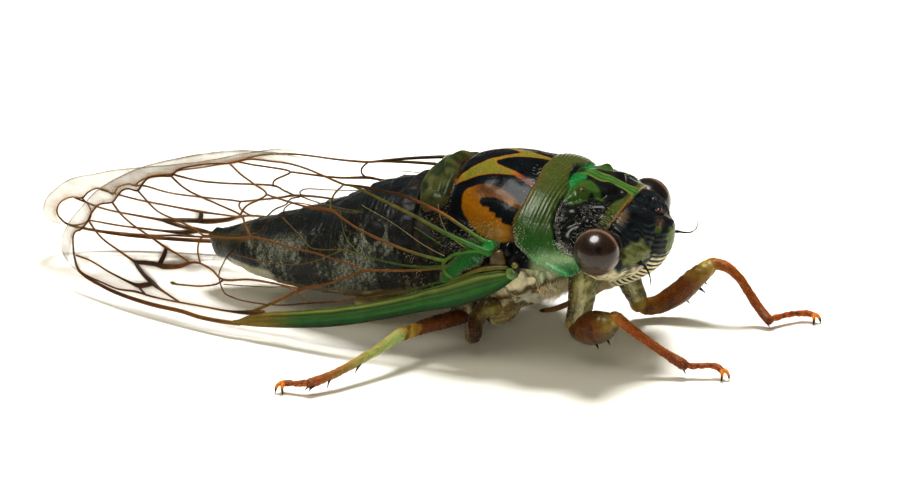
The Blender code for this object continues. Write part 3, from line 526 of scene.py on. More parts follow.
def membrane_material():
    """Clear wing skin: nearly see-through, with its own tint and veil, and faint wrinkles."""
    tree, shader, made = new_material("wing_membrane")
    made.use_backface_culling = False
    cloud, crinkle = noise(tree, 900.0, 4.0), noise(tree, 2600.0, 3.0)
    veil = maths(tree, "MULTIPLY", attribute(tree, "veil"), spread(tree, cloud, 0.7, 1.3))
    wire(tree, shader, {"Base Color": shaded(tree, spread(tree, cloud, 0.85, 1.1)), "Alpha": veil,
                        "Normal": bump(tree, crinkle, 0.6, 0.00006),
                        "Roughness": spread(tree, crinkle, 0.08, 0.22), "Specular IOR Level": 0.9})
    return made


def floor_material():
    """Plain pale card with a trace of cloud."""
    tree, shader, made = new_material("pale_floor")
    cloud = noise(tree, 14.0)
    value = spread(tree, cloud, 0.93, 0.97)
    colour = node(tree, "CombineColor", {"Red": value, "Green": value,
                                         "Blue": spread(tree, cloud, 0.925, 0.965)})
    wire(tree, shader, {"Base Color": colour, "Roughness": 0.6})
    return made


# Name, coat and its roughness, relief of the fine lines, gloss under the coat
PLATE = cuticle_material("cuticle_plate", 0.12, 0.1, 0.12, 0.25)
POLISH = cuticle_material("cuticle_polish", 0.08, 0.06, 0.1, 0.12)
MATT = cuticle_material("cuticle_matt", 0.06, 0.3, 0.35, 0.2)
LIMB = cuticle_material("cuticle_limb", 0.17, 0.14, 0.2, 0.25)
VEIN = cuticle_material("wing_vein", 0.06, 0.2, 0.1, 0.2)
HAIR = hair_material()
EYE = eye_material()
MEMBRANE = membrane_material()


# Trunk: the shield, the back plates and the flanks

PRONOTUM = [(2.0, 3.45, 4.65, 9.1), (1.75, 3.65, 4.95, 9.3), (2.0, 3.9, 5.12, 9.42),
            (2.6, 4.15, 5.12, 9.38), (3.1, 4.4, 5.0, 9.26), (3.5, 4.55, 4.82, 9.12),
            (4.2, 4.75, 4.6, 9.02), (5.0, 4.95, 4.35, 8.86), (5.9, 5.05, 4.15, 8.6),
            (6.78, 5.2, 3.95, 8.28), (6.9, 5.25, 3.75, 8.05)]
# How far the collar's rear edge stands off the plain arch, by angle down from the ridge
COLLAR_EDGE = [(0, 0.35), (28, 0.42), (47, -0.05), (59, -0.7), (73, -0.86), (82, -0.3), (87, 0.8),
               (95, 1.3)]
MESONOTUM = [(-4.55, -3.6, 3.0, 7.75), (-4.0, -3.5, 3.3, 8.15), (-3.0, -2.9, 3.75, 8.62),
             (-2.0, -2.0, 4.05, 9.12), (-0.8, -0.8, 4.3, 9.46), (0.4, 0.4, 4.4, 9.58),
             (1.4, 1.6, 4.42, 9.54), (2.4, 3.2, 4.4, 9.4), (3.2, 4.0, 4.3, 9.2)]
METANOTUM = [(-5.75, -5.3, 3.4, 7.1), (-5.55, -5.3, 3.55, 7.35), (-5.2, -5.0, 3.65, 7.6),
             (-4.4, -4.0, 3.6, 7.6)]
# x, half width and bottom of the trunk's underside
TRUNK = [(-5.4, 3.3, 1.4), (-4.0, 3.7, 1.2), (-2.5, 3.85, 1.2), (-0.8, 4.0, 1.25), (0.8, 4.0, 1.4),
         (1.9, 3.85, 1.75), (2.8, 3.6, 2.35), (3.6, 3.3, 3.1), (4.4, 2.9, 3.7), (4.9, 2.4, 4.1)]


def arch_grid(table, rows, top, low, tuck, waist=WAIST, full=()):
    """Arches through the table's rows from the right waist over the back to the left, closed below.

    A row gives x at the top and at the side, half width and height. A ring has y = -half width x
    cos(angle) and rises by sin(angle) to the top. Below the waist it tucks in by the given depth.
    Past the place in full the shoulders fill out. Gives the grid, each point's place along the
    table, and its angle down from the ridge in degrees.
    """
    place = np.linspace(0, len(table) - 1, rows)
    x_top, x_side, half_width, height = through(table, place).T[..., None]
    angle = np.concatenate([np.linspace(0, np.pi, top), np.linspace(np.pi, 2 * np.pi, low + 2)[1:-1]])
    rise = np.clip(np.sin(angle), 0, 1)
    fall = np.clip(-np.sin(angle), 0, 1) ** 0.7
    x = x_top + (x_side - x_top) * (1 - rise) ** 1.3 + 0 * angle
    power = 1 - (0.25 * smooth(*full, place) if full else 0 * place)[:, None]
    z = waist + (height - waist) * rise ** power - tuck * fall
    grid = stacked(x, -half_width * np.cos(angle) * (1 - 0.12 * fall), z)
    side = np.degrees(np.arctan2(np.abs(grid[..., 1]), grid[..., 2] - WAIST))
    return grid, place[:, None] + 0 * angle, side


def raised(grid, height):
    """The grid moved outward by a height at each point."""
    return grid + grid_normals(grid) * np.asarray(height)[..., None]


def spots(x, side, table):
    """Sum of round bosses and hollows given as (x, angle, radius, height)."""
    return sum(height * close_to(np.hypot(x - centre, (side - angle) * ARC), 0, radius)
               for centre, angle, radius, height in table)


def grooves(x, side, table):
    """Sum of furrows along segments given as (x, angle, x, angle, width, depth)."""
    return sum(-depth
               * close_to(segment(x, side * ARC, (ax, a_side * ARC), (bx, b_side * ARC))[0], 0, width)
               for ax, a_side, bx, b_side, width, depth in table)


# Front edge of the collar: angles down from the ridge, and x there
COLLAR_ANGLES = (0, 15, 31, 45, 57, 68, 75.5, 79, 84, 100)
COLLAR_FRONT = (3.45, 3.74, 3.88, 3.68, 3.7, 3.98, 4.45, 5.3, 7.5, 8.5)
DISC_BOSSES = [(4.62, 28, 0.34, 0.2), (4.5, 48, 0.42, 0.16), (5.35, 52, 0.42, 0.18),
               (5.5, 22, 0.5, 0.13), (4.9, 68, 0.42, 0.14), (5.9, 38, 0.4, 0.1), (4.1, 12, 0.35, -0.07)]
DISC_FURROWS = [(4.15, 40, 5.7, 26, 0.2, 0.16), (4.2, 62, 5.75, 44, 0.2, 0.16),
                (5.7, 26, 6.3, 12, 0.16, 0.1), (4.05, 18, 4.5, 36, 0.15, 0.08)]
# Outlines of marks (x, angle)
EMERALD_PATCH = [(3.7, 6.0), (4.25, 6.0), (4.45, 10.5), (4.3, 17), (4.2, 26), (3.9, 33), (3.7, 30),
                 (3.65, 14)]
OLIVE_LOBE = [(4.15, 18), (4.65, 13), (5.2, 19), (5.75, 29), (5.7, 33), (5.1, 27), (5.0, 35), (4.6, 41),
              (4.1, 40), (3.8, 34)]


def collar_tint(flat, place, side):
    """Collar: olive above, greener down its sides, emerald with a pale streak on its lobes."""
    green = mix(OLIVE, tone(60, 78, 32), smooth(20, 50, side))
    brown = 0.75 * smooth(2.6, 1.2, place) * smooth(75, 50, side)
    return painted(green,
                   (tone(44, 88, 36), smooth(52, 72, side)),
                   (OLIVE_BROWN, brown + 0.2 * smooth(0.6, 1.4, ripple(flat, 1.0, 3))),
                   (EMERALD, 0.9 * smooth(76, 83, side)),
                   (PALE_EMERALD, 0.8 * close_to(side, 86, 4)),
                   (tone(166, 192, 156), 0.7 * close_to(side, 80, 4) * smooth(2.4, 4.2, flat[..., 0])))


def disc_tint(flat, grid, place, side):
    """Disc: black, with emerald patches whose pale streaks are painted highlights, olive lobes and front
    edge, and a green middle line.
    """
    x, y = flat[..., 0], np.abs(flat[..., 1])
    middle = smooth(0.5, 0.4, y + 0.04 * ripple(flat, 1.0, 3)) * smooth(3.7, 3.9, x)
    # Emerald with pale streaks: the streaks are painted highlights on the patch's folds
    emerald_with_painted_highlights = mix(EMERALD, PALE_EMERALD, smooth(0.1, 1.2, ripple(grid * (1.0, 3.0, 1.0), 0.45, 6)))
    edge = smooth(8.7, 8.85, place - 0.35 * smooth(34, 14, side) + 0.35) * smooth(58, 50, side)
    return painted(INK,
                   (tone(40, 40, 30), 0.5 * smooth(0.2, 1.2, ripple(grid, 0.6, 5))),
                   (OLIVE, edge),
                   (tone(132, 104, 52), smooth(9.0, 9.15, place)),
                   (emerald_with_painted_highlights, outline_mask(x, side, EMERALD_PATCH, 0.08)),
                   (tone(58, 90, 34), outline_mask(x, side, OLIVE_LOBE, 0.09)),
                   (tone(70, 60, 34), 0.9 * spots(x, side, [(4.62, 28, 0.26, 1.0)])),
                   (tone(72, 114, 50), middle),
                   (YELLOW_OLIVE, middle * close_to(y, 0.42, 0.05) * 0.8),
                   (INK, 0.6 * middle * close_to(y, 0.17, 0.05)),
                   (INK, middle * smooth(4.3, 4.0, x) * 0.8))


def pronotum():
    """Shield: rolled green collar behind, black furrowed disc before it, hairy green side lobes."""
    flat, place, side = arch_grid(PRONOTUM, 200, 330, 50, 0.25, 5.2, (4.5, 8.0))
    angles, offsets = np.array(COLLAR_EDGE).T
    flat[..., 0] += np.interp(side, angles, offsets) * smooth(9, 2, place)
    x, uneven = flat[..., 0], ripple(flat, 1.0, 3)
    front = np.interp(side, COLLAR_ANGLES, COLLAR_FRONT) + 0.05 * uneven
    collar = smooth(0.07, -0.07, x - front)
    disc = (1 - collar) * smooth(10, 9.4, place)
    height = 0.05 * collar - 0.13 * close_to(x, front + 0.12, 0.14) * smooth(86, 78, side)
    height += disc * (spots(x, side, DISC_BOSSES) + grooves(x, side, DISC_FURROWS) + 0.03 * uneven)
    height += 0.03 * smooth(0.55, 0.1, np.abs(flat[..., 1])) * disc
    height += 0.012 * collar * np.sin((x + side * 0.012) * 2 * np.pi / 0.19) * smooth(70, 40, side)
    grid = raised(flat, height)
    tint = painted(disc_tint(flat, grid, place, side), (collar_tint(flat, place, side), collar),
                   (MAROON, 0.8 * smooth(1.5, 0.9, place)))
    part = skin(grid, tint=tint, wax=0.12 * (1 - collar) + 0.25 * smooth(70, 84, side) * collar,
                chart=stacked(x * 1.3 + side * 0.02, side * ARC, 0.0), lined=0.65 * collar)
    make_piece("pronotum_shield", [part], PLATE, ["pronotum"])
    return grid, collar, side, disc


ARM = [(-2.2, 35), (-2.45, 31), (-1.6, 20.5), (-0.95, 13), (-0.3, 8), (0.2, 4), (0.8, -1), (2.3, -1),
       (2.3, 2.2), (1.5, 3.6), (0.45, 7.5), (-0.3, 13), (-0.15, 17.5), (0.4, 20.5), (1.0, 23.5),
       (1.15, 25.5), (0.7, 26.5), (0.1, 26.5), (-0.5, 27.5), (-1.1, 29.5), (-1.75, 33)]
THIN_ARM = [(0.8, 22.5), (1.4, 25), (2.0, 28.5), (2.6, 32), (2.5, 35), (1.7, 31), (1.0, 26.5)]
OCHRE_PATCH = [(-1.5, 48.8), (-1.5, 42.3), (-1.15, 38.3), (-0.5, 35.8), (0.3, 37), (1.0, 40.8), (1.6, 45.6),
               (2.1, 50.6), (2.3, 65.5), (2.2, 72), (1.3, 74), (0.5, 74), (-0.25, 70.3), (-0.9, 63.7),
               (-1.35, 55.8)]
TOOTH = [(-0.42, 49.8), (-0.36, 46), (0.2, 45), (0.9, 46.9), (1.45, 50.3), (2.3, 53), (2.3, 61.9),
         (1.35, 62.4), (1.0, 61.4), (0.9, 58.6), (0.62, 58.6), (0.5, 55.7), (0.2, 54.8), (0.1, 52.2),
         (-0.2, 52)]


def capsule(x, y, table):
    """Rounded ridge from zero to one along a path of (x, y, width) stations."""
    best = np.zeros(x.shape)
    for (*start, start_width), (*end, end_width) in zip(table, table[1:]):
        away, share = segment(x, y, start, end)
        away = away / (start_width + (end_width - start_width) * share)
        best = np.maximum(best, np.sqrt(np.clip(1 - away ** 2, 0, 1)))
    return best


# Arms of the cross (x, distance out, width)
CROSS_FRONT = [(-3.3, 0.0, 0.4), (-2.95, 0.9, 0.36), (-2.62, 1.7, 0.3), (-2.62, 2.7, 0.24)]
CROSS_REAR = [(-3.3, 0.0, 0.42), (-3.65, 0.8, 0.45), (-3.8, 1.7, 0.42), (-3.55, 2.5, 0.36),
              (-2.75, 2.8, 0.25)]
# Outline (x, angle) of the raised ground between the arms
CROSS_SADDLE = [(-3.6, 10), (-2.9, 8), (-2.6, 30), (-2.55, 46), (-3.3, 50), (-3.8, 32)]


def back_marks(flat, grid, side):
    """Black with olive arms, thin rusty arms, toothed ochre side patches and two tan bosses."""
    x = flat[..., 0]
    shifted = x + 0.02 * ripple(grid, 0.35, 22)
    border = smooth(1.0, 0.6, outline_mask(shifted, side, ARM, 0.2))
    arm = mix(tone(118, 116, 46), tone(158, 106, 32),
              np.clip(smooth(-1.7, -2.2, x) * 0.8 + 0.9 * border, 0, 1))
    brownish = np.clip(smooth(-1.5, -0.3, x) * smooth(50, 41, side) + smooth(1.2, 1.7, x), 0, 1)
    ochre = painted(tone(144, 96, 8), (tone(136, 104, 26), smooth(60, 68, side) * 0.8),
                    (tone(84, 54, 32), brownish * 0.9))
    toothed = outline_mask(shifted, side, OCHRE_PATCH,
                           0.06) * (1 - outline_mask(shifted, side, TOOTH, 0.05))
    bosses = spots(x, side, [(0.9, 68, 0.32, 0.9), (0.45, 71, 0.26, 0.9)]).clip(0, 1)
    return painted(INK,
                   (BLUE_BLACK, 0.4 + 0.3 * ripple(flat, 0.9, 21)),
                   (arm, outline_mask(shifted, side, ARM, 0.05)),
                   (GREY_GREEN * 0.8, smooth(80, 84, side) * smooth(2.5, 3.0, x)),
                   (mix(ORANGE, MAROON, smooth(0.8, 1.6, x)), outline_mask(shifted, side, THIN_ARM, 0.05)),
                   (ochre, toothed),
                   (tone(150, 118, 66), bosses))


def mesonotum():
    """Main back plate with its painted marks, and the waxy cross at its rear."""
    flat, _, side = arch_grid(MESONOTUM, 220, 340, 24, 0.35)
    x, y = flat[..., 0], np.abs(flat[..., 1])
    arms = np.maximum(capsule(x, y, CROSS_FRONT), capsule(x, y, CROSS_REAR))
    fold = np.maximum(arms, 0.62 * smooth(0.0, 1.0, outline_mask(x, side, CROSS_SADDLE, 0.12)))
    uneven = ripple(flat, 0.9, 21)
    height = (0.44 - 0.22 * smooth(-3.0, -2.6, x)) * fold + 0.012 * uneven
    height -= 0.22 * smooth(-1.9, -2.6, x) * (1 - np.minimum(fold * 1.6, 1))
    height -= 0.1 * close_to(side, 66 + 4 * x, 4) * smooth(-2.0, -1.0, x)
    height += spots(x, side, [(0.9, 68, 0.35, 0.14), (0.4, 72, 0.3, 0.1)])
    grid = raised(flat, height)
    waxy = mix(tone(42, 54, 28), tone(76, 80, 44), smooth(-0.8, 0.8, uneven))
    tint = painted(back_marks(flat, grid, side),
                   (tone(34, 28, 22), smooth(-2.0, -2.5, x) * (1 - fold)),
                   (waxy, smooth(0.12, 0.4, fold)),
                   (ORANGE * 0.8, 0.35 * close_to(fold, 0.25, 0.1) * smooth(-2.0, -2.4, x)))
    part = skin(grid, tint=tint, wax=0.35 * smooth(0.1, 0.4, fold) + 0.8 * smooth(76, 84, side),
                chart=stacked(x * 0.6, side * ARC, 0.0), lined=0.12 * fold)
    make_piece("mesonotum_plate", [part], POLISH, ["mesonotum"])
    return grid, fold, side


def metanotum():
    """Narrow plate behind the cross, with a raised median fold."""
    grid, place, side = arch_grid(METANOTUM, 60, 200, 20, 0.3)
    x = grid[..., 0]
    grid = raised(grid, 0.08 * np.sin(place * 3.2) + 0.02 * ripple(grid, 0.5, 31))
    tint = mix(BLUE_BLACK, tone(34, 28, 22), 0.4 + 0.4 * ripple(grid, 0.7, 32))
    chart = stacked(x, side * ARC, 0.0)
    part = skin(grid, tint=tint, wax=0.5, chart=chart, lined=0.2)
    make_piece("metanotum_plate", [part], MATT, ["metanotum"])
    return grid, side


# Height of the flanks' upper edge, and a raised fold along them (x, z)
FLANK_TOP = 4.9
FLANK_FOLD = [(-0.6, 2.7), (0.9, 3.0), (2.3, 3.55), (3.2, 3.95), (4.2, 4.4)]
# Swellings (x, distance out, z, radius, height) and seams (x at the waist, lean, width, depth)
FLANK_DOMES = [(2.9, 3.6, 3.25, 0.5, 0.3), (1.5, 3.9, 2.9, 0.6, 0.22), (0.3, 4.0, 3.6, 0.7, 0.25),
               (-1.1, 3.9, 3.3, 0.7, 0.25), (-2.4, 3.8, 3.0, 0.6, 0.22), (-3.6, 3.5, 2.9, 0.6, 0.2),
               (3.5, 3.1, 2.6, 0.5, 0.25), (0.9, 3.0, 1.7, 0.6, 0.22), (-1.4, 2.9, 1.5, 0.6, 0.2)]
FLANK_SEAMS = [(2.05, 0.2, 0.13, 0.2), (0.85, 0.35, 0.12, 0.18), (-0.45, 0.3, 0.12, 0.2),
               (-1.75, 0.2, 0.12, 0.16), (-3.0, 0.1, 0.12, 0.18), (-4.2, 0.0, 0.12, 0.14),
               (3.1, 0.1, 0.1, 0.14)]
# Dark rims of the pale plates: screen colour, middle, radii, seed
FLANK_RIMS = [((70, 52, 32), (2.9, 3.6, 3.25), (0.5, 3.0, 0.4), 43),
              ((96, 92, 52), (2.2, 3.6, 2.6), (0.8, 3.0, 0.75), 47),
              ((66, 56, 38), (1.7, 3.9, 4.0), (1.0, 3.0, 0.62), 49)]


def flank_tint(grid, folds, lines):
    """Waxy cream plates with dark rims, tan between them, brown lines, and black above."""
    x, z = grid[..., 0], grid[..., 2]
    cloud = ripple(grid, 0.75, 45)
    fibres = ripple(grid * (1.0, 0.5, 0.22), 0.2, 42)
    tint = painted(tone(162, 156, 130),
                   (tone(108, 90, 60), smooth(-0.2, 0.9, cloud)),
                   (WAX, 0.7 * patch(grid, (2.3, 3.6, 2.7), (0.75, 3.0, 0.7), 0.4, 47)),
                   (mix(GREY_GREEN, WAX, 0.6 * smooth(0.0, 1.4, fibres)),
                    patch(grid, (3.6, 3.6, 4.6), (1.15, 3.0, 1.0), 0.3, 47)),
                   (BONE, patch(grid, (1.7, 3.9, 4.0), (0.95, 3.0, 0.58), 0.2, 49)),
                   (tone(150, 108, 62), patch(grid, (2.9, 3.6, 3.25), (0.45, 3.0, 0.36), 0.25, 43)),
                   (tone(84, 60, 36), 0.9 * folds))
    for colour, centre, radii, seed in FLANK_RIMS:
        rim = close_to(patch(grid, centre, radii, 0.2, seed), 0.5, 0.3)
        tint = mix(tint, tone(*colour), 0.8 * rim)
    level = 4.45 - 2.1 * smooth(1.4, -0.9, x) + 1.2 * smooth(1.7, 2.3, x)
    green = 0.7 * smooth(0.6, 1.1, ripple(grid, 0.7, 49)) * smooth(1.0, 2.2, x)
    dark = painted(INK, (tone(50, 40, 28), smooth(-0.4, 1.0, ripple(grid, 0.5, 48))),
                   (tone(52, 78, 38), green))
    return painted(tint, (tone(40, 34, 24), lines * smooth(-0.6, 0.6, cloud)),
                   (dark, smooth(-0.3, 0.3, z - level + 0.22 * ripple(grid, 0.6, 50))))


def trunk():
    """Flanks and underside, with swellings, seams and a fold."""
    x, half_width, bottom = through(TRUNK, np.linspace(0, len(TRUNK) - 1, 190)).T[..., None]
    angle = np.concatenate([np.linspace(0, np.pi, 250), np.linspace(np.pi, 2 * np.pi, 42)[1:-1]])
    fall = np.clip(np.sin(angle), 0, 1) ** 0.8
    over = np.clip(-np.sin(angle), 0, 1)
    z = FLANK_TOP + (bottom - FLANK_TOP) * fall + 2.2 * over
    grid = stacked(x, -half_width * np.cos(angle) * (1 - 0.15 * over), z)
    x, y, z = grid[..., 0], np.abs(grid[..., 1]), grid[..., 2]
    wobble = 0.03 * ripple(grid, 0.4, 46)
    folds = np.max([close_to(segment(x, z, a, b)[0] + wobble, 0, 0.13)
                    for a, b in zip(FLANK_FOLD, FLANK_FOLD[1:])], axis=0) * smooth(2.0, 2.6, y)
    height = 0.05 * ripple(grid, 0.8, 41) + 0.02 * ripple(grid, 0.3, 42) + 0.1 * folds
    for *centre, radius, rise in FLANK_DOMES:
        height = height + rise * close_to(np.linalg.norm(stacked(x, y, z) - centre, axis=-1), 0, radius)
    seams = np.zeros(height.shape)
    for seam, lean, width, depth in FLANK_SEAMS:
        line = close_to(x, seam + lean * (WAIST - z) + 0.08 * ripple(grid, 1.2, 43), width)
        height = height - 0.6 * depth * line
        seams = np.maximum(seams, line)
    ledge = close_to(z, 2.35 + 0.15 * ripple(grid, 1.5, 44), 0.12) * smooth(2.4, 3.0, y)
    height = height - 0.12 * ledge
    grid = raised(grid, height * smooth(-0.02, 0.1, np.sin(angle) + 0.1))
    tint = flank_tint(grid, folds, np.clip(0.55 * seams + 0.3 * ledge, 0, 1))
    chart = stacked(grid[..., 0], angle * 3.5, 0.0)
    part = skin(grid, tint=tint, wax=0.75, chart=chart, lined=0.25)
    make_piece("trunk_flanks", [part], MATT, ["thorax"])
    return grid


# Abdomen

ABDOMEN = [(-16.95, 0.2, 3.2, 2.72), (-16.6, 0.55, 3.2, 2.0), (-15.6, 1.2, 3.55, 1.55),
           (-14.4, 1.75, 4.0, 1.15), (-13.0, 2.15, 4.5, 0.85), (-11.0, 2.7, 5.25, 0.65),
           (-9.0, 3.1, 6.05, 0.65), (-7.0, 3.45, 6.85, 0.75), (-5.5, 3.55, 7.35, 1.0),
           (-4.6, 3.5, 7.3, 1.1)]
TERGITE_FRONT = -4.95
TERGITE_LENGTH = 1.33
TERGITES = 7
# Where the rings end and the tip begins
TIP_FRONT = -14.45
# The crest behind the cross stands higher than the plain sections: x, height and width
CREST = (-7.1, 0.27, 1.5)


def ring_grid(table, x, around, lean):
    """Oval sections along x: half width, top and bottom from the table, tops leaning forward."""
    half_width, top, bottom = blend(table, x).T[..., None]
    angle = np.linspace(0, 2 * np.pi, around, endpoint=False) - np.pi / 2
    rise = np.sin(angle)
    grid = stacked(x[:, None] + lean * rise, half_width * np.cos(angle),
                   (top + bottom) / 2 + (top - bottom) / 2 * rise)
    return grid, angle


def silver_share(grid, angle, phase):
    """How silvery the flanks are: clouds, streaks and fine grain, stronger at the front of each ring."""
    cloud = ripple(grid * (1.6, 1.0, 0.8), 0.9, 53) + 0.7 * ripple(grid, 0.35, 57)
    streaks = ripple(stacked(grid[..., 0] * 2.2, angle * 0.8, 0.0), 1.0, 58)
    cloud = 0.8 * ripple(grid, 2.6, 59) + 0.55 * streaks + 0.4 * cloud
    cloud = cloud + 0.5 * ripple(grid, 0.2, 60)
    grain = 0.4 + 0.75 * smooth(-0.5, 0.7, ripple(grid * (1.0, 1.0, 0.6), 0.14, 61))
    return smooth(-0.5, 1.6, cloud + 0.4 * close_to(phase, 0.3, 0.25)), grain


def abdomen_tint(grid, rise, across, inside, phase, silver, flank):
    """Blue-black rings with silvery flanks and pale rims, tan underplates, cream flaps, dark tip."""
    along = grid[..., 0]
    upper, under = smooth(-0.62, -0.5, rise), smooth(-0.6, -0.72, rise)
    rims = inside * smooth(0.95, 0.99, phase) * (0.4 + 0.6 * upper) * smooth(-13.6, -12.6, along)
    belly = mix(tone(120, 104, 70), tone(44, 36, 24), smooth(0.6, 0.0, across / 1.4 - 0.3))
    flap = smooth(-12.5, -12.9, along) * smooth(-15.8, -15.3, along) * smooth(-0.3, -0.5, rise)
    return painted(tone(10, 16, 20),
                   (tone(20, 30, 34), 0.5 + 0.4 * ripple(grid, 1.6, 54)),
                   (tone(46, 40, 30), 0.5 * smooth(0.3, 1.3, ripple(grid, 0.6, 55)) * flank),
                   (tone(136, 140, 122), 0.66 * silver),
                   (tone(84, 92, 84), 0.4 * inside * close_to(phase, 0.975, 0.025) * upper),
                   (tone(60, 46, 28), 0.45 * rims),
                   (belly, under * 0.9),
                   (WAX, 0.5 * under * smooth(0.2, 1.1, ripple(grid, 0.6, 56))),
                   (tone(184, 182, 160), flap * 0.9),
                   (tone(18, 34, 34), smooth(-14.3, -14.7, along) * (1 - flap)),
                   (DARK_BROWN, smooth(-16.55, -16.75, along) * 0.8))


def abdomen():
    """Seven back rings that overlap rearward, paler underplates and a pointed tip."""
    x = np.linspace(-16.93, -4.7, 330)
    flat, angle = ring_grid(ABDOMEN, x, 260, 0.25)
    rise = np.broadcast_to(np.sin(angle), flat.shape[:2])
    crest, lift, width = CREST
    flat[..., 2] += lift * close_to(flat[..., 0], crest, width) * smooth(0.2, 1.0, rise)
    along = flat[..., 0]
    count = (TERGITE_FRONT - (along + 0.18 * rise)) / TERGITE_LENGTH
    inside = smooth(-0.05, 0.02, count) * smooth(TERGITES + 0.04, TERGITES, count)
    phase = count - np.floor(count)
    step = 0.1 * phase ** 1.4 * smooth(1.0, 0.97, phase)
    height = inside * (step - 0.05) * (0.6 + 0.4 * smooth(-0.62, -0.5, rise))
    height = height - 0.14 * close_to(rise, -0.56, 0.035) * smooth(-15.8, -14.8, along)
    height += 0.02 * ripple(flat, 1.1, 51) + 0.008 * ripple(flat, 0.25, 52)
    grid = raised(flat, height * smooth(-16.9, -16.3, along))
    flank = smooth(0.75, 0.35, rise) * smooth(-0.85, -0.6, rise)
    share, grain = silver_share(grid, angle, phase)
    silver = np.clip(share * flank, 0, 1) * inside * grain
    tint = abdomen_tint(grid, rise, np.abs(flat[..., 1]), inside, phase, silver, flank)
    chart = stacked(grid[..., 0] * 1.2, angle * 3.0, 0.0)
    wax = 0.25 + 0.5 * silver + 0.3 * smooth(-0.6, -0.72, rise)
    cut = int((x < TIP_FRONT).sum())
    # The rings start three rows inside the tip, so that no gap shows between them
    body, tip = (skin(grid[rows], tint=tint[rows], wax=wax[rows], chart=chart[rows], lined=lined)
                 for rows, lined in ((slice(cut - 3, None), 0.45), (slice(cut), 0.3)))
    make_piece("abdomen_rings", [body], PLATE, ["abdomen"])
    make_piece("abdomen_end", [tip], PLATE, ["abdomen_tip"])
    return grid, silver, flank * inside


def dome(centre, radii, turn, tint, wax=0.4, rows=24, around=40, lumps=0.05, seed=61):
    """Closed oval body: a sphere stretched by its radii, turned about z, with soft lumps."""
    ball = ball_grid(rows, around, 0.04)
    grid = ball * radii * (1 + lumps * ripple(ball, 1.2, seed)[..., None])
    c, s = math.cos(math.radians(turn)), math.sin(math.radians(turn))
    grid = grid @ np.array([[c, s, 0], [-s, c, 0], [0, 0, 1]]) + centre
    shade = tint * (1 + 0.2 * ripple(grid, 0.5, seed + 1)[..., None])
    return skin(grid, tint=shade, wax=wax, chart=grid, lined=0.2)


def plates():
    """Covers of the sound organs on the first ring, and the flaps under them."""
    for name, sign in SIDES.items():
        cover = dome((-6.35, sign * 2.95, 5.0), (0.75, 0.42, 0.95), sign * 12, tone(24, 27, 25), 0.9,
                     seed=63)
        make_piece("timbal_cover_" + name, [cover], MATT, ["timbal_cover_" + name])
        flap = dome((-6.6, sign * 1.75, 1.0), (1.35, 1.2, 0.34), sign * -15, tone(176, 166, 120), 0.7,
                    seed=65)
        make_piece("operculum_" + name, [flap], MATT, ["operculum_" + name])


# Head

# x, half width, top, bottom and lean of the crown; x, z, half width and depth down the face
HEAD = [(4.7, 3.2, 7.2, 3.9, 0.2), (5.4, 3.6, 7.5, 3.7, 0.2), (6.1, 3.85, 7.9, 3.65, 0.2),
        (6.6, 3.8, 8.05, 3.7, 0.18), (7.1, 3.5, 7.98, 3.9, 0.15), (7.6, 2.95, 7.7, 4.2, 0.1),
        (8.1, 2.0, 7.4, 4.8, 0.0), (8.4, 0.9, 7.05, 5.6, 0.0)]
FACE = [(7.85, 7.2, 0.45, 0.55), (7.95, 6.55, 1.15, 0.95), (7.85, 5.75, 1.45, 1.0), (7.45, 5.0, 1.5, 0.98),
        (6.75, 4.3, 1.3, 0.85), (5.8, 3.55, 0.85, 0.6), (4.95, 2.95, 0.55, 0.42), (4.6, 2.68, 0.42, 0.34)]
EYE_CENTRE = (6.19, 4.04, 6.28)
EYE_RADII = (1.2, 1.2, 1.25)
OCELLI = [(8.12, 0.0, 7.42, 0.16), (7.55, 0.8, 7.66, 0.15), (7.55, -0.8, 7.66, 0.15)]


# Pale and brown patches of the head: colour, strength, middle, radii, softness, seed
HEAD_PATCHES = [((92, 108, 58), 1.0, (8.75, 0.35, 6.0), (0.4, 0.3, 0.75), 0.2, 75),
                ((84, 100, 52), 0.8, (8.35, 0.95, 6.75), (0.32, 0.22, 0.24), 0.2, 76),
                ((124, 98, 60), 0.55, (6.85, 2.2, 7.7), (0.24, 0.5, 0.4), 0.7, 77),
                ((108, 78, 48), 0.55, (8.4, 0.6, 7.05), (0.2, 0.3, 0.3), 0.7, 78),
                ((116, 110, 70), 0.7, (5.6, 3.3, 7.6), (0.9, 0.5, 0.35), 0.3, 79)]


def head_tint(points):
    """Blue-black crown with tan and green patches, and cream cheeks; also the cheeks' share."""
    x, z = points[..., 0], points[..., 2]
    cheek = smooth(5.35, 4.9, z + 0.12 * (x - 6.2) + 0.1 * ripple(points, 0.5, 72))
    mottled = mix(tone(206, 200, 168), tone(104, 98, 72), smooth(-0.1, 0.9, ripple(points, 0.3, 73)))
    ledge = patch(points, (7.75, 2.45, 5.85), (0.75, 1.0, 0.68), 0.22, 74)
    tint = painted(INK, (tone(24, 36, 46), 0.4 + 0.35 * ripple(points, 0.7, 71)), (mottled, cheek),
                   (tone(112, 118, 70), ledge * (1 - cheek) * (0.85 + 0.15 * ripple(points, 0.3, 70))))
    for colour, strength, *oval in HEAD_PATCHES:
        tint = mix(tint, tone(*colour), strength * patch(points, *oval))
    return tint, cheek


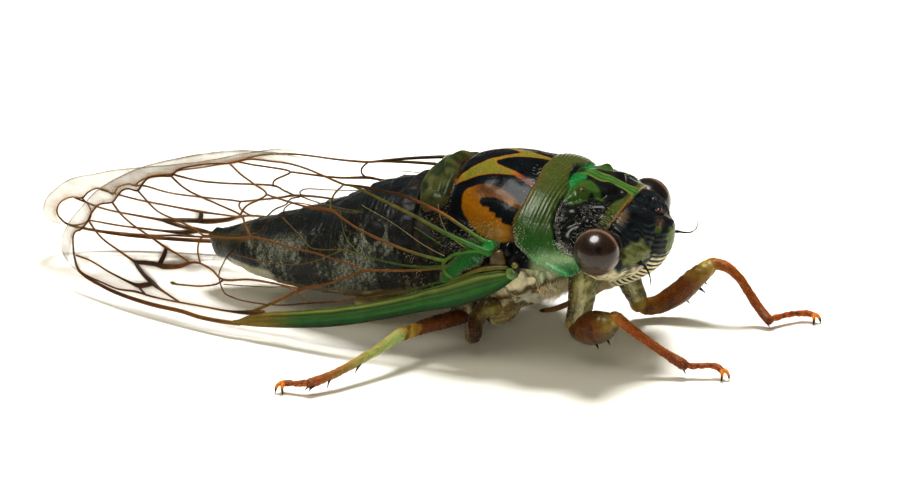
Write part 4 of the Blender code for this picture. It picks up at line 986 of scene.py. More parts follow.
def head():
    """Crown and cheeks, with striations in rings round the three small eyes."""
    place = np.linspace(0, len(HEAD) - 1, 150)
    x, half_width, top, bottom, lean = through(HEAD, place).T[..., None]
    angle = np.linspace(0, 2 * np.pi, 260, endpoint=False) - np.pi / 2
    rise = np.sin(angle)
    grid = stacked(x + lean * rise, half_width * np.cos(angle),
                   (top + bottom) / 2 + (top - bottom) / 2 * rise)
    y, z = np.abs(grid[..., 1]), grid[..., 2]
    away = np.linalg.norm(grid - (7.1, 0, 8.6), axis=-1)
    beside_eye = np.linalg.norm(stacked(grid[..., 0], y, z) - EYE_CENTRE, axis=-1)
    rings = np.sin(away * 2 * np.pi / 0.3 + 1.4 * ripple(grid, 0.8, 81))
    height = 0.028 * rings * smooth(4.9, 5.6, z)
    height += 0.03 * ripple(grid, 0.6, 82) - 0.14 * close_to(beside_eye, 1.42, 0.1)
    height -= 0.12 * patch(grid, (7.5, 0.25, 7.9), (0.55, 0.4, 0.5), 0.4, 83)
    height -= 0.12 * close_to(grid[..., 0], 5.75 + 0.1 * y, 0.12) * smooth(6.5, 7.5, z)
    height += 0.16 * patch(grid, (7.85, 2.3, 5.75), (0.75, 0.8, 0.4), 0.5, 84)
    last = len(HEAD) - 1.0
    height *= (smooth(0.0, 0.5, place) * smooth(last, last - 0.5, place))[:, None]
    grid = raised(grid, height)
    tint, cheek = head_tint(grid)
    tint = mix(tint, tone(84, 72, 54), 0.7 * close_to(beside_eye, 1.36, 0.07))
    chart = stacked(away * 1.1, angle * 2.5, 0.0)
    crown = skin(grid, tint=tint, wax=0.4 + 0.4 * cheek, chart=chart, lined=0.4)
    make_piece("head_crown", [crown], PLATE, ["head"])


def face():
    """Bulging face with cross ribs, pale and dark striped towards the beak."""
    place = np.linspace(0, len(FACE) - 1, 240)
    x, z, half_width, depth = through(FACE, place).T[..., None]
    along = np.stack([np.gradient(x[:, 0]), np.gradient(z[:, 0])], -1)
    along /= np.linalg.norm(along, axis=1, keepdims=True)
    outward = np.stack([-along[:, 1], along[:, 0]], -1)
    angle = np.linspace(0, 2 * np.pi, 150, endpoint=False)
    shape = through([(0.35,), (1.0,), (1.0,)], np.minimum(place * 1.4, 2))
    forward = depth * np.cos(angle) * shape
    grid = stacked(x + outward[:, :1] * forward, half_width * np.sin(angle) * shape,
                   z + outward[:, 1:] * forward)
    place = place[:, None]
    wave = np.cos(2 * np.pi * place / 0.27 + 0.6 * np.abs(np.sin(angle)))
    strength = smooth(0.4, 1.0, place) * smooth(5.6, 4.6, place)
    centre_line = close_to(np.sin(angle), 0, 0.16) * (np.cos(angle) > 0)
    low_ribs = 0.35 + 0.65 * smooth(2.2, 3.2, place)
    grid = raised(grid,
                  0.035 * wave * strength * low_ribs * (1 - 0.8 * centre_line)
                  + 0.012 * ripple(grid, 0.4, 85))
    tint, _ = head_tint(grid)
    low = smooth(5.45, 5.05, grid[..., 2] + 0.1 * ripple(grid, 0.5, 86))
    striped = mix(tone(212, 204, 170), tone(24, 24, 22), smooth(-0.1, 0.35, -wave) * strength)
    striped = mix(striped, tone(128, 116, 84), smooth(4.7, 5.4, place) * 0.7)
    tint = mix(tint, striped, low)
    dark_ribs = mix(tint, tone(90, 96, 62), 0.16 * smooth(0.3, 1.0, wave) * strength)
    tint = mix(dark_ribs, tint, low)
    tint = mix(tint, tone(96, 118, 62), 0.8 * centre_line * (1 - low) * smooth(0.8, 1.2, place))
    chart = stacked(angle * 1.5, place, 0.0)
    part = skin(grid, tint=tint, wax=0.15 + 0.5 * low, chart=chart, lined=0.15)
    make_piece("face_bulge", [part], PLATE, ["face"])


def eyes():
    """Domed eyes with a rim, a paler ring, and a dark spot that is painted shade aimed at the camera."""
    ball = ball_grid(90, 140, 0.03)
    forward, high = ball[..., 0], ball[..., 2]
    for name, sign in SIDES.items():
        gaze = np.array([0.36, 0.84 * sign, 0.4])
        # Painted pseudo-pupil: darkest at the angle facing the camera (mirrored on the far eye), paler away
        # from it
        spot = np.degrees(np.arccos(np.clip(ball @ (gaze / np.linalg.norm(gaze)), -1, 1)))
        outward = np.degrees(np.arccos(np.clip(ball @ (0.15, 0.98 * sign, 0.1), -1, 1)))
        tint = painted(tone(54, 36, 24),
                       (tone(30, 20, 12), 0.5 + 0.3 * ripple(ball, 0.9, 91)),
                       (tone(90, 70, 54), smooth(38, 66, spot) * 0.7),
                       (tone(34, 22, 12), 0.6 * smooth(0.0, -0.55, forward + 0.15 * high)),
                       # Painted shade of the pseudo-pupil: black spot towards the camera, with a darker
                       # crescent just below it
                       (tone(6, 5, 5), smooth(11, 6.5, spot)),
                       (tone(34, 24, 20), 0.6 * close_to(spot, 15, 9) * smooth(-0.2, -0.8, high - 0.4)),
                       (tone(150, 118, 104), 0.8 * close_to(outward, 76, 5) * smooth(-0.2, 0.5, high)),
                       (tone(30, 22, 20), smooth(82, 88, outward)))
        grid = ball * EYE_RADII + np.array(EYE_CENTRE) * (1, sign, 1)
        make_piece("eye_" + name, [skin(grid, tint=tint)], EYE, ["eye_" + name])


def crown_eyes():
    """Three small dark red eyes, each in a thin rim."""
    parts = [dome(place, (radius, radius, radius * 0.8), 0, tone(70, 14, 16), 0.0, 20, 28, 0.0)
             for *place, radius in OCELLI]
    for x, y, z, radius in OCELLI:
        ring = [(x + radius * 1.12 * math.cos(a), y + radius * 1.12 * math.sin(a),
                 z - 0.03 - 0.45 * radius * math.cos(a), 0.035) for a in np.linspace(0, 2 * np.pi, 17)]
        parts.append(skin(tube_grid(ring, 8, 2, round_ends=False)[0], tint=tone(40, 38, 34)))
    make_piece("crown_eyes", parts, EYE)


ANTENNAE = {
    "right": [(7.6, -2.35, 5.45, 0.17), (7.95, -2.45, 5.38, 0.14), (8.2, -2.52, 5.32, 0.075),
              (8.4, -2.62, 5.15, 0.05), (8.58, -2.72, 4.9, 0.036), (8.68, -2.82, 4.62, 0.026),
              (8.68, -2.9, 4.35, 0.015)],
    "left": [(7.6, 1.9, 5.45, 0.17), (8.1, 2.0, 5.52, 0.14), (8.45, 2.1, 5.56, 0.07),
             (8.8, 2.25, 5.5, 0.045), (9.1, 2.45, 5.5, 0.032), (9.3, 2.7, 5.66, 0.024),
             (9.31, 2.9, 5.98, 0.014)],
}


def antennae():
    """Short bristles: two thick base joints, then a thread of five that tapers to a point."""
    for name, stations in ANTENNAE.items():
        grid, along, _ = tube_grid(stations, 14, 10)
        grid = swelled(grid, 1 + 0.1 * np.cos(along * 2 * np.pi * 7))
        tint = mix(tone(60, 50, 34), tone(20, 18, 14), smooth(0.0, 0.35, along)[:, None])
        part = skin(grid, tint=tint, wax=0.2, chart=grid)
        make_piece("antenna_" + name, [part], PLATE, ["antenna_" + name])


def rostrum():
    """Jointed beak folded back under the head, tan above and dark at its tip."""
    stations = [(4.9, 0, 2.85, 0.36), (4.4, 0, 2.42, 0.32), (4.0, 0, 2.12, 0.23), (3.2, 0, 1.56, 0.16),
                (2.5, 0, 1.2, 0.14), (1.9, 0, 1.02, 0.11), (1.7, 0, 0.98, 0.06)]
    around = 26
    grid, along, _ = tube_grid(stations, around, 14)
    grid = swelled(grid, 1 - 0.12 * (close_to(along, 0.34, 0.02) + close_to(along, 0.6, 0.02)))
    angle = np.linspace(0, 2 * np.pi, around, endpoint=False)
    along = along[:, None]
    tint = mix(tone(150, 124, 78), tone(108, 78, 42), smooth(0.2, 0.7, along))
    tint = mix(tint, INK, smooth(0.88, 0.97, along))
    tint = mix(tint, DARK_BROWN, 0.7 * close_to(np.cos(angle), 0, 0.15)[None])
    part = skin(grid, tint=tint, wax=0.4, chart=stacked(angle, along * 4, 0.0), lined=0.3)
    make_piece("rostrum_beak", [part], LIMB, ["rostrum"])


# Wings: u runs along the wing from its root, v up from the leading edge, lift is outward

# Leading edge (u, distance out, height, slope in degrees), and how the far wing differs from it
WING_RAIL = [(-1.5, 4.1, 4.7, 84), (0, 4.75, 4.3, 80), (1.5, 5.2, 3.75, 74), (4, 5.8, 2.8, 65),
             (8, 6.4, 1.75, 56), (12, 6.45, 1.0, 53), (15, 6.3, 0.78, 54), (18, 5.7, 0.74, 56),
             (21, 4.8, 0.78, 58), (24, 3.6, 0.85, 60), (27, 2.3, 1.0, 62)]
LEFT_SWAY = [(6, 0, 0, 0, 1.0), (10, 0.4, -0.5, 0.1, 0.94), (14, 0.5, -0.9, 0.15, 0.92),
             (19, 0.9, -1.5, 0, 0.84), (23, 2.0, -1.25, 0.02, 0.87), (27, 2.5, -1.0, 0.25, 1.0)]
WING_ROOT_X = 1.5
FOREWING_LIFT = 0.2
HINDWING_LIFT = -0.85


def wing_place(side, u, v, lift):
    """Points of the wing's surface: a rail along its leading edge with a slope up and inward."""
    out, height, slope = np.moveaxis(blend(WING_RAIL, u), -1, 0)
    slope = np.radians(slope)
    back = 0 * out
    if side == "left":
        back, outward, up, across = np.moveaxis(blend(LEFT_SWAY, u), -1, 0)
        out, height, v = out + outward, height + up, v * across
    y = out - v * np.cos(slope) + lift * np.sin(slope)
    z = height + v * np.sin(slope) + lift * np.cos(slope)
    return stacked(WING_ROOT_X - u - back, SIDES[side] * y, z)


# Outlines of the wings (u, v)
FORE_FRONT = [(-1.2, 0.1), (0.3, -0.3), (2.1, -0.5), (4.2, -0.32), (6.0, -0.36), (8.4, -0.42),
              (11.7, -0.35), (14.4, -0.35), (17.7, -0.28), (21.9, -0.33), (24.0, -0.2), (25.2, 0.02),
              (26.0, 0.35), (26.35, 0.8), (26.42, 1.3)]
FORE_REAR = [(-1.0, 1.9), (0.6, 2.5), (2.1, 3.6), (3.9, 5.05), (6.0, 6.2), (8.4, 7.1), (10.1, 7.65),
             (11.8, 8.7), (13.7, 9.12), (15.9, 9.0), (18.3, 8.3), (20.4, 7.4), (22.4, 6.3), (24.4, 4.7),
             (25.5, 3.2), (26.1, 2.2), (26.42, 1.3)]
# Veins as (u, v, radius, ripeness): ripeness runs from green over orange-brown to dark
FOREWING_VEINS = [
    [(14.0, -0.3, 0.11, 0.9), (16.3, -0.3, 0.11, 1.1), (17.7, -0.22, 0.11, 1.2), (19.7, -0.3, 0.11, 1.2),
     (21.9, -0.3, 0.1, 1.2), (23.5, -0.17, 0.09, 1.3), (24.7, 0.03, 0.08, 1.5), (25.2, 0.5, 0.07, 1.7),
     (25.5, 1.1, 0.06, 1.8), (25.62, 1.6, 0.055, 1.8), (25.5, 1.9, 0.055, 1.8), (25.2, 2.1, 0.06, 1.8),
     (24.85, 2.6, 0.055, 1.7), (24.6, 3.3, 0.055, 1.7), (24.2, 3.85, 0.055, 1.9), (23.4, 4.22, 0.06, 1.9),
     (23.15, 4.6, 0.055, 1.8), (22.9, 5.0, 0.055, 1.8), (22.5, 5.22, 0.055, 1.9), (21.9, 5.3, 0.065, 2.0),
     (21.65, 5.75, 0.06, 2.0), (21.35, 6.15, 0.06, 1.9), (20.6, 6.45, 0.06, 1.9), (20.0, 6.62, 0.065, 1.9),
     (19.7, 7.0, 0.055, 1.7), (19.2, 7.3, 0.055, 1.5), (17.9, 7.8, 0.055, 1.5), (16.7, 8.1, 0.06, 1.2),
     (15.6, 8.55, 0.06, 1.2), (14.4, 8.62, 0.06, 1.1), (13.4, 8.6, 0.06, 1.1), (12.4, 8.4, 0.06, 1.2),
     (11.3, 8.0, 0.065, 1.2), (9.9, 7.4, 0.075, 1.1)],
    [(12.8, 0.42, 0.1, 1.7), (13.4, 0.36, 0.13, 2.0), (14.6, 0.3, 0.075, 1.8), (16.2, 0.3, 0.06, 1.2),
     (17.8, 0.22, 0.06, 1.3), (19.5, 0.12, 0.06, 1.5), (20.7, 0.1, 0.07, 1.9), (21.9, -0.08, 0.06, 1.6),
     (23.1, -0.05, 0.06, 1.4), (24.0, -0.02, 0.055, 1.4), (24.6, 0.03, 0.055, 1.5)],
    [(3.1, 1.7, 0.085, 0.6), (5.2, 2.05, 0.075, 1.1), (7.5, 2.4, 0.075, 1.2), (9.2, 2.0, 0.075, 1.4),
     (10.9, 1.7, 0.08, 1.5), (12.2, 1.05, 0.085, 1.2), (13.5, 0.4, 0.09, 0.9)],
    [(7.5, 2.4, 0.06, 1.2), (8.4, 2.85, 0.065, 1.4), (9.3, 3.2, 0.065, 1.4), (10.7, 3.7, 0.065, 1.4),
     (12.1, 4.0, 0.065, 1.4), (13.3, 4.3, 0.07, 1.3), (14.5, 4.4, 0.075, 1.4), (15.2, 4.25, 0.065, 1.2),
     (16.2, 4.12, 0.06, 1.2), (17.3, 4.0, 0.06, 1.2)],
    [(10.9, 1.7, 0.06, 1.2), (12.5, 2.0, 0.065, 1.4), (14.0, 2.12, 0.065, 1.4), (15.5, 1.92, 0.07, 1.4),
     (16.3, 2.3, 0.065, 1.3), (17.1, 2.5, 0.07, 1.3), (17.7, 2.4, 0.085, 1.3), (18.3, 2.08, 0.12, 1.4),
     (19.2, 1.85, 0.15, 1.6), (19.8, 1.83, 0.13, 1.9), (20.4, 1.75, 0.12, 2.0), (21.1, 1.6, 0.1, 2.0)],
    [(15.5, 1.92, 0.065, 1.8), (15.8, 1.65, 0.055, 1.7), (16.2, 1.48, 0.055, 1.6), (16.9, 1.3, 0.055, 1.5),
     (17.6, 1.2, 0.055, 1.3), (18.2, 1.12, 0.065, 1.0), (18.5, 1.12, 0.09, 0.9), (18.62, 1.12, 0.05, 0.9)],
    [(17.3, 4.0, 0.06, 1.2), (17.45, 3.6, 0.055, 1.2), (17.4, 3.1, 0.055, 1.2), (17.1, 2.5, 0.06, 1.2)],
    [(17.7, 2.4, 0.06, 1.2), (18.5, 2.65, 0.06, 1.3), (19.4, 2.85, 0.08, 1.5), (20.3, 3.1, 0.065, 1.5),
     (21.3, 3.35, 0.06, 1.5), (21.9, 3.5, 0.06, 1.5), (22.7, 3.8, 0.06, 1.6), (23.4, 4.22, 0.07, 1.7)],
    [(19.35, 2.8, 0.1, 1.9), (19.4, 2.4, 0.12, 2.0), (19.55, 1.9, 0.13, 2.0)],
    [(21.1, 1.6, 0.085, 1.9), (22.4, 1.9, 0.065, 1.5), (23.3, 2.1, 0.06, 1.5), (23.9, 2.32, 0.06, 1.6),
     (24.7, 2.75, 0.06, 1.7)],
    [(21.1, 1.6, 0.1, 2.0), (20.8, 1.35, 0.1, 2.0), (20.3, 1.05, 0.1, 2.0), (19.7, 0.8, 0.12, 2.0),
     (19.2, 0.62, 0.08, 1.5), (18.6, 0.45, 0.07, 1.3), (17.8, 0.22, 0.065, 1.1)],
    [(19.7, 0.8, 0.11, 2.0), (20.2, 0.58, 0.14, 2.0), (20.6, 0.45, 0.12, 2.0), (21.2, 0.47, 0.08, 1.8),
     (22.7, 0.62, 0.06, 1.6), (24.1, 0.82, 0.055, 1.5), (25.15, 0.72, 0.06, 1.8)],
    [(20.6, 0.45, 0.08, 2.0), (20.3, 0.25, 0.07, 1.8), (20.0, 0.1, 0.07, 1.5)],
    [(17.3, 4.0, 0.06, 1.2), (17.9, 4.22, 0.06, 1.2), (18.9, 4.4, 0.055, 1.3), (20.1, 4.52, 0.055, 1.4),
     (20.7, 4.7, 0.055, 1.5), (21.3, 5.0, 0.06, 1.7), (21.9, 5.3, 0.065, 1.9)],
    [(14.5, 4.4, 0.06, 1.2), (14.95, 4.95, 0.06, 1.2), (15.4, 5.5, 0.065, 1.2), (16.8, 5.8, 0.06, 1.4),
     (18.4, 6.05, 0.06, 1.6), (19.1, 6.22, 0.06, 1.7), (19.6, 6.42, 0.065, 1.7), (20.0, 6.62, 0.07, 1.8)],
    [(15.4, 5.5, 0.06, 1.2), (15.15, 6.05, 0.06, 1.1), (14.2, 6.8, 0.065, 1.1), (15.1, 7.3, 0.06, 1.2),
     (15.9, 7.65, 0.06, 1.2), (16.7, 8.1, 0.06, 1.3)],
    [(14.2, 6.8, 0.065, 1.2), (12.8, 6.5, 0.065, 1.5), (11.6, 6.22, 0.07, 1.4), (10.3, 6.0, 0.085, 1.4),
     (9.6, 5.55, 0.075, 1.3), (8.2, 4.65, 0.08, 1.3), (5.7, 3.3, 0.085, 1.0), (4.4, 2.65, 0.085, 0.6),
     (3.2, 2.05, 0.1, 0.2)],
    [(10.3, 6.0, 0.06, 1.0), (10.42, 6.45, 0.06, 0.7), (10.3, 6.95, 0.06, 0.8), (9.9, 7.4, 0.06, 0.9)],
    [(9.9, 7.4, 0.07, 0.9), (9.1, 7.15, 0.08, 0.75), (7.4, 6.2, 0.085, 0.7), (5.4, 5.0, 0.1, 0.6),
     (3.6, 3.72, 0.12, 0.35), (1.9, 2.5, 0.15, 0.0), (0.8, 1.75, 0.2, -0.3)],
    [(9.9, 7.4, 0.065, 1.3), (8.7, 7.12, 0.08, 1.9), (7.2, 6.6, 0.09, 2.0), (5.9, 6.05, 0.095, 1.9),
     (3.9, 4.8, 0.095, 1.6), (2.6, 3.72, 0.1, 1.0), (1.6, 2.82, 0.11, 0.4), (0.8, 2.2, 0.13, -0.2)],
    [(2.7, 1.0, 0.09, 0.3), (3.05, 1.35, 0.09, 0.3), (3.25, 1.75, 0.1, 0.3), (3.2, 2.05, 0.1, 0.2),
     (2.75, 2.25, 0.09, 0.1), (2.3, 2.2, 0.09, 0.0), (1.5, 2.05, 0.1, -0.1), (0.9, 1.7, 0.14, -0.3)],
    [(3.25, 1.75, 0.07, 0.8), (3.0, 1.7, 0.07, 0.6)],
]
# Faint veins at the base of the forewing
FOREWING_PALE = [
    [(4.1, 5.25, 0.035, 0), (3.75, 4.3, 0.035, 0), (3.1, 3.3, 0.04, 0), (2.0, 2.3, 0.05, 0),
     (0.9, 1.6, 0.06, 0)],
    [(8.6, 6.15, 0.024, 0), (6.5, 4.8, 0.026, 0), (4.6, 3.3, 0.03, 0), (3.3, 2.35, 0.03, 0)],
]
HIND_FRONT = [(2.2, 0.9), (4.5, 0.75), (8, 0.65), (11.5, 0.6), (13.9, 0.62), (15.5, 0.95), (16.4, 1.5),
              (16.85, 2.2), (16.95, 2.9)]
HIND_REAR = [(2.2, 2.9), (3.6, 3.6), (5.6, 4.9), (7.6, 6.0), (9.5, 6.3), (12.0, 7.0), (13.4, 6.9),
             (14.6, 6.2), (15.7, 5.2), (16.5, 4.2), (16.95, 2.9)]
HINDWING_VEINS = [
    [(2.6, 1.2, 0.09, 0.1), (5.0, 1.2, 0.07, 0.3), (8.0, 1.25, 0.06, 0.5), (10.8, 1.25, 0.055, 0.8),
     (12.6, 1.15, 0.05, 1.1), (14.4, 1.2, 0.05, 1.4), (15.2, 1.3, 0.05, 1.8), (15.8, 1.5, 0.05, 1.9),
     (16.3, 2.3, 0.045, 1.6), (16.2, 3.0, 0.04, 1.3), (16.0, 3.5, 0.05, 1.6), (15.2, 4.6, 0.055, 2.0),
     (14.5, 5.1, 0.05, 2.0), (14.1, 5.7, 0.05, 1.8), (13.5, 6.0, 0.05, 1.9), (13.4, 6.5, 0.045, 1.6),
     (12.8, 6.8, 0.04, 1.3), (11.0, 6.5, 0.035, 1.0), (9.0, 6.0, 0.035, 0.7)],
    [(2.6, 1.75, 0.07, 0.0), (5.1, 2.4, 0.065, 0.0), (7.0, 3.1, 0.055, 0.1), (8.5, 3.7, 0.05, 0.3),
     (9.5, 4.1, 0.045, 0.6), (11.3, 4.3, 0.04, 0.8), (12.2, 5.0, 0.04, 0.8), (13.5, 6.0, 0.045, 1.3)],
    [(10.8, 1.3, 0.04, 1.4), (12.1, 2.1, 0.04, 1.2), (13.3, 2.1, 0.04, 0.9), (14.9, 2.0, 0.04, 0.9),
     (15.9, 1.9, 0.04, 1.3)],
    [(8.5, 3.7, 0.04, 0.2), (9.6, 4.9, 0.035, 0.4), (10.2, 6.3, 0.03, 0.7)],
    [(9.5, 4.1, 0.04, 0.6), (12.0, 3.4, 0.035, 0.9), (15.9, 3.6, 0.035, 1.3)],
    [(2.9, 2.3, 0.06, -0.1), (5.5, 4.5, 0.05, 0.2), (7.6, 5.7, 0.045, 0.4), (9.5, 6.2, 0.04, 0.7)],
]


def vein_colour(ripeness, points):
    """Green, olive, orange-brown, then dark brown as ripeness goes from 0 to 2."""
    steps = [tone(34, 112, 46), tone(68, 106, 36), tone(96, 86, 30), tone(108, 68, 24), tone(58, 36, 16)]
    shade = through(steps, np.clip((ripeness + 0.5) * 1.6, 0, 4))
    return np.clip(shade, 0, 1) * (1 + 0.15 * ripple(points, 0.5, 95)[..., None])


PALE_VEIN = tone(138, 132, 88)


def veins(side, paths, lift, pale=False):
    """Round veins laid along the wing's surface; each swells and thins by its stations."""
    parts = []
    around = 10
    for path in paths:
        rows = np.array(path)
        count = (len(rows) - 1) * 8 + 1
        u, v, radius, ripeness = through(rows, np.linspace(0, len(rows) - 1, count)).T
        line = wing_place(side, u, v, lift)
        radius = np.maximum(radius - 0.012 * smooth(0.1, 0.07, radius), 0.02)
        grid, along, length = tube_grid(np.column_stack([line, radius]), around, 1)
        ripeness = np.interp(along, np.linspace(0, 1, count), ripeness)[:, None]
        tint = PALE_VEIN if pale else vein_colour(ripeness, grid)
        chart = stacked(np.arange(around), along[:, None] * length, 0.0)
        parts.append(skin(grid, tint=tint, wax=0.3, chart=chart))
    return parts


# The far wing's rounded apex, and the inner side of its last cell
LEFT_APEX = [(25.3, 0.2, 0.07, 1.7), (25.62, 0.5, 0.06, 1.8), (25.76, 1.2, 0.055, 1.8),
             (25.45, 2.1, 0.055, 1.8), (24.86, 2.75, 0.055, 1.7), (24.38, 2.86, 0.06, 1.9),
             (23.99, 3.55, 0.055, 1.8), (23.52, 4.1, 0.055, 1.9), (23.13, 4.07, 0.055, 1.9),
             (22.88, 3.75, 0.06, 2.0), (22.53, 4.55, 0.055, 1.8), (22.04, 5.0, 0.06, 1.9),
             (21.8, 4.95, 0.065, 2.0), (21.4, 5.6, 0.06, 1.9), (20.8, 6.2, 0.06, 1.9),
             (20.0, 6.62, 0.065, 1.9)]
LEFT_LOOP = [(24.38, 2.84, 0.055, 1.7), (24.2, 2.3, 0.055, 1.6), (24.2, 1.6, 0.055, 1.5),
             (24.45, 0.8, 0.055, 1.6), (24.9, 0.35, 0.055, 1.7), (25.3, 0.2, 0.055, 1.7)]
LEFT_VEINS = [FOREWING_VEINS[0][:7] + LEFT_APEX + FOREWING_VEINS[0][24:], LEFT_LOOP]
# Where the far wing's veins meet its border instead of the near wing's
LEFT_ENDS = {(25.15, 0.72): (24.45, 0.8), (21.9, 5.3): (21.8, 4.95), (23.4, 4.22): (23.4, 4.08)}
for path in FOREWING_VEINS[1:]:
    LEFT_VEINS.append(path[:-1] + [(*LEFT_ENDS.get(path[-1][:2], path[-1][:2]), *path[-1][2:])])
ROOT_BAR = [(2.9, 0.9, 0.05, 0.55), (2.14, 0.94, 0.09, 0.6), (1.2, 1.0, 0.13, 0.7), (0.4, 0.85, 0.13, 0.7),
            (-0.1, 0.72, 0.1, 0.6)]
# Veins with a smoky shade beside them, and the green skin at the wing's base (u, v)
SMOKY_VEINS = [[(17.9, 2.3), (19.3, 1.9), (21.1, 1.6)], [(21.1, 1.6), (19.7, 0.8), (20.6, 0.45)],
               [(19.4, 2.8), (19.55, 1.9)]]
BASAL_FAN = [(1.9, 2.5), (1.2, 2.2), (0.7, 2.1)]
BASAL_CELL = [(2.85, 1.3), (2.3, 1.75), (1.6, 1.7)]
# Edges of the thick leading edge (u, v)
COSTA_LOWER = [(-0.6, -0.2), (0.3, -0.42), (1.2, -0.6), (2.1, -0.62), (3.0, -0.48), (4.2, -0.34),
               (6.0, -0.38), (8.4, -0.45), (11.7, -0.38), (12.9, -0.38), (14.4, -0.36)]
COSTA_UPPER = [(-0.6, 0.5), (0.4, 0.7), (1.2, 0.82), (2.8, 0.84), (4.2, 0.82), (5.1, 0.75), (6.6, 0.66),
               (8.4, 0.62), (11.4, 0.52), (12.4, 0.46), (13.4, 0.28), (14.4, -0.14)]


def costal_band(side):
    """Thick green leading edge: a lens across the wing with raised lines of olive and brown."""
    u = np.linspace(-0.6, 14.4, 260)
    low, high = blend(COSTA_LOWER, u), blend(COSTA_UPPER, u)
    angle = np.linspace(0, 2 * np.pi, 56, endpoint=False)
    share = 0.5 - 0.5 * np.cos(angle)
    ridge = 0.035 * np.cos(share * 2 * np.pi * 4.0 + 0.4) * (np.sin(angle) > 0)
    u = u[:, None]
    swell = (0.13 * np.sin(angle) + ridge * np.abs(np.sin(angle))) * smooth(14.4, 12.6, u)
    round_end = np.sqrt(np.clip(1 - (0.4 - u).clip(0, 1) ** 2, 0.02, 1))
    swell = (swell + 0.03 * np.sin(angle)) * round_end
    v = (low + high) / 2 + (high - low) * (share - 0.5) * round_end
    grid = wing_place(side, u + 0 * v, v, FOREWING_LIFT + 0.02 + swell)
    share = share + 0.02 * ripple(grid, 1.5, 97)
    tint = painted(tone(24, 70, 30),
                   (tone(54, 102, 40), close_to(share, 0.36, 0.12)),
                   (tone(84, 110, 38), 0.85 * smooth(0.5, 0.62, share)),
                   (tone(22, 58, 28), 0.85 * close_to(share, 0.66, 0.04)),
                   (YELLOW_OLIVE, 0.7 * close_to(share, 0.83, 0.05)),
                   (tone(40, 60, 26), close_to(share, 0.92, 0.03)),
                   (tone(40, 44, 20), smooth(0.09, 0.04, share)),
                   (tone(128, 104, 40), 0.9 * smooth(10.4, 13.2, u)))
    chart = stacked(share * 6, u, 0.0)
    return skin(grid, tint=tint, wax=0.3, chart=chart, lined=0.5)


def span_grid(side, front, rear, columns, rows, lift):
    """Grid between a wing's front and rear outlines, each a smooth curve over u."""
    front, rear = (through(edge, np.linspace(0, len(edge) - 1, 900)) for edge in (front, rear))
    low, high = max(front[0, 0], rear[0, 0]), min(front[-1, 0], rear[-1, 0])
    u = low + (high - low) * np.sin(np.linspace(0, np.pi / 2, columns))
    bottom, top = (np.interp(u, np.maximum.accumulate(edge[:, 0]), edge[:, 1])[:, None]
                   for edge in (front, rear))
    v = bottom + (top - bottom) * np.linspace(0, 1, rows)
    u = u[:, None] + 0 * v
    return wing_place(side, u, v, lift), u, v, v - bottom, top - v


def forewing_skin(name, paths):
    """Clear membrane with a tinted margin, smoky veins and a green base."""
    grid, u, v, from_front, from_rear = span_grid(name, FORE_FRONT, FORE_REAR, 330, 110, FOREWING_LIFT)
    grid[..., 1] += SIDES[name] * 0.03 * ripple(grid, 1.3, 101)
    border = np.array([station[:2] for station in paths[0]])
    turn = int(border[:, 0].argmax())
    beyond = v - np.interp(u, border[turn:][::-1, 0], border[turn:][::-1, 1])
    margin = np.maximum(smooth(-0.05, 0.1, beyond) * smooth(12, 15, u),
                        smooth(-0.05, 0.1, u - border[turn, 0]))
    smoke = close_to(np.min([path_distance(u, v, path) for path in SMOKY_VEINS], axis=0), 0, 0.28)
    base = 1 - smooth(-0.05, 0.15, path_distance(u, v, BASAL_CELL) - 0.42)
    base = np.maximum(base, 0.9 * smooth(0.42, 0.2, path_distance(u, v, BASAL_FAN)))
    beside = np.min([path_distance(u, v, path) for path in paths[:16]], axis=0)
    amber = close_to(beside, 0, 0.22) * smooth(11, 16, u)
    root = smooth(0.9, 1.5, u) + smooth(1.35, 1.1, v) * smooth(0.2, 0.5, u) + base
    tint = painted(FILM, (tone(130, 118, 94), margin), (tone(170, 122, 66), amber),
                   (tone(84, 50, 28), smoke), (tone(32, 96, 42), base))
    veil = np.clip(0.01 + 0.42 * margin + 0.3 * amber + 0.5 * smoke, 0, 1) * (1 - base) + 0.85 * base
    edges = 0.5 * close_to(from_rear, 0.02, 0.07) + 0.4 * close_to(from_front, 0.02, 0.05)
    veil = (veil + edges * smooth(10, 13, u)) * np.clip(root, 0, 1)
    make_piece("forewing_skin_" + name, [skin(grid, wrap=False, tint=tint, veil=veil)], MEMBRANE)


def forewings():
    """Clear membranes, a thick green leading edge and round veins."""
    for name in SIDES:
        paths = FOREWING_VEINS if name == "right" else LEFT_VEINS
        forewing_skin(name, paths)
        solid = veins(name, paths + [ROOT_BAR], FOREWING_LIFT + 0.03) + [costal_band(name)]
        solid += veins(name, FOREWING_PALE, FOREWING_LIFT - 0.05, pale=True)
        make_piece("forewing_veins_" + name, solid, VEIN, ["forewing_" + name])


def hindwings():
    """Smaller clear wings folded beneath, with thin green to brown veins and a cream hind margin."""
    for name in SIDES:
        grid, u, _, _, from_rear = span_grid(name, HIND_FRONT, HIND_REAR, 200, 70, HINDWING_LIFT)
        margin = np.maximum(smooth(0.75, 0.25, from_rear) * smooth(9, 11, u), smooth(15.9, 16.4, u))
        tint = mix(FILM, tone(158, 148, 120), margin)
        veil = 0.008 + 0.12 * margin + 0.35 * close_to(from_rear, 0, 0.05)
        make_piece("hindwing_skin_" + name, [skin(grid, wrap=False, tint=tint, veil=veil)], MEMBRANE)
        make_piece("hindwing_veins_" + name, veins(name, HINDWING_VEINS, HINDWING_LIFT + 0.02), VEIN,
                   ["hindwing_" + name])


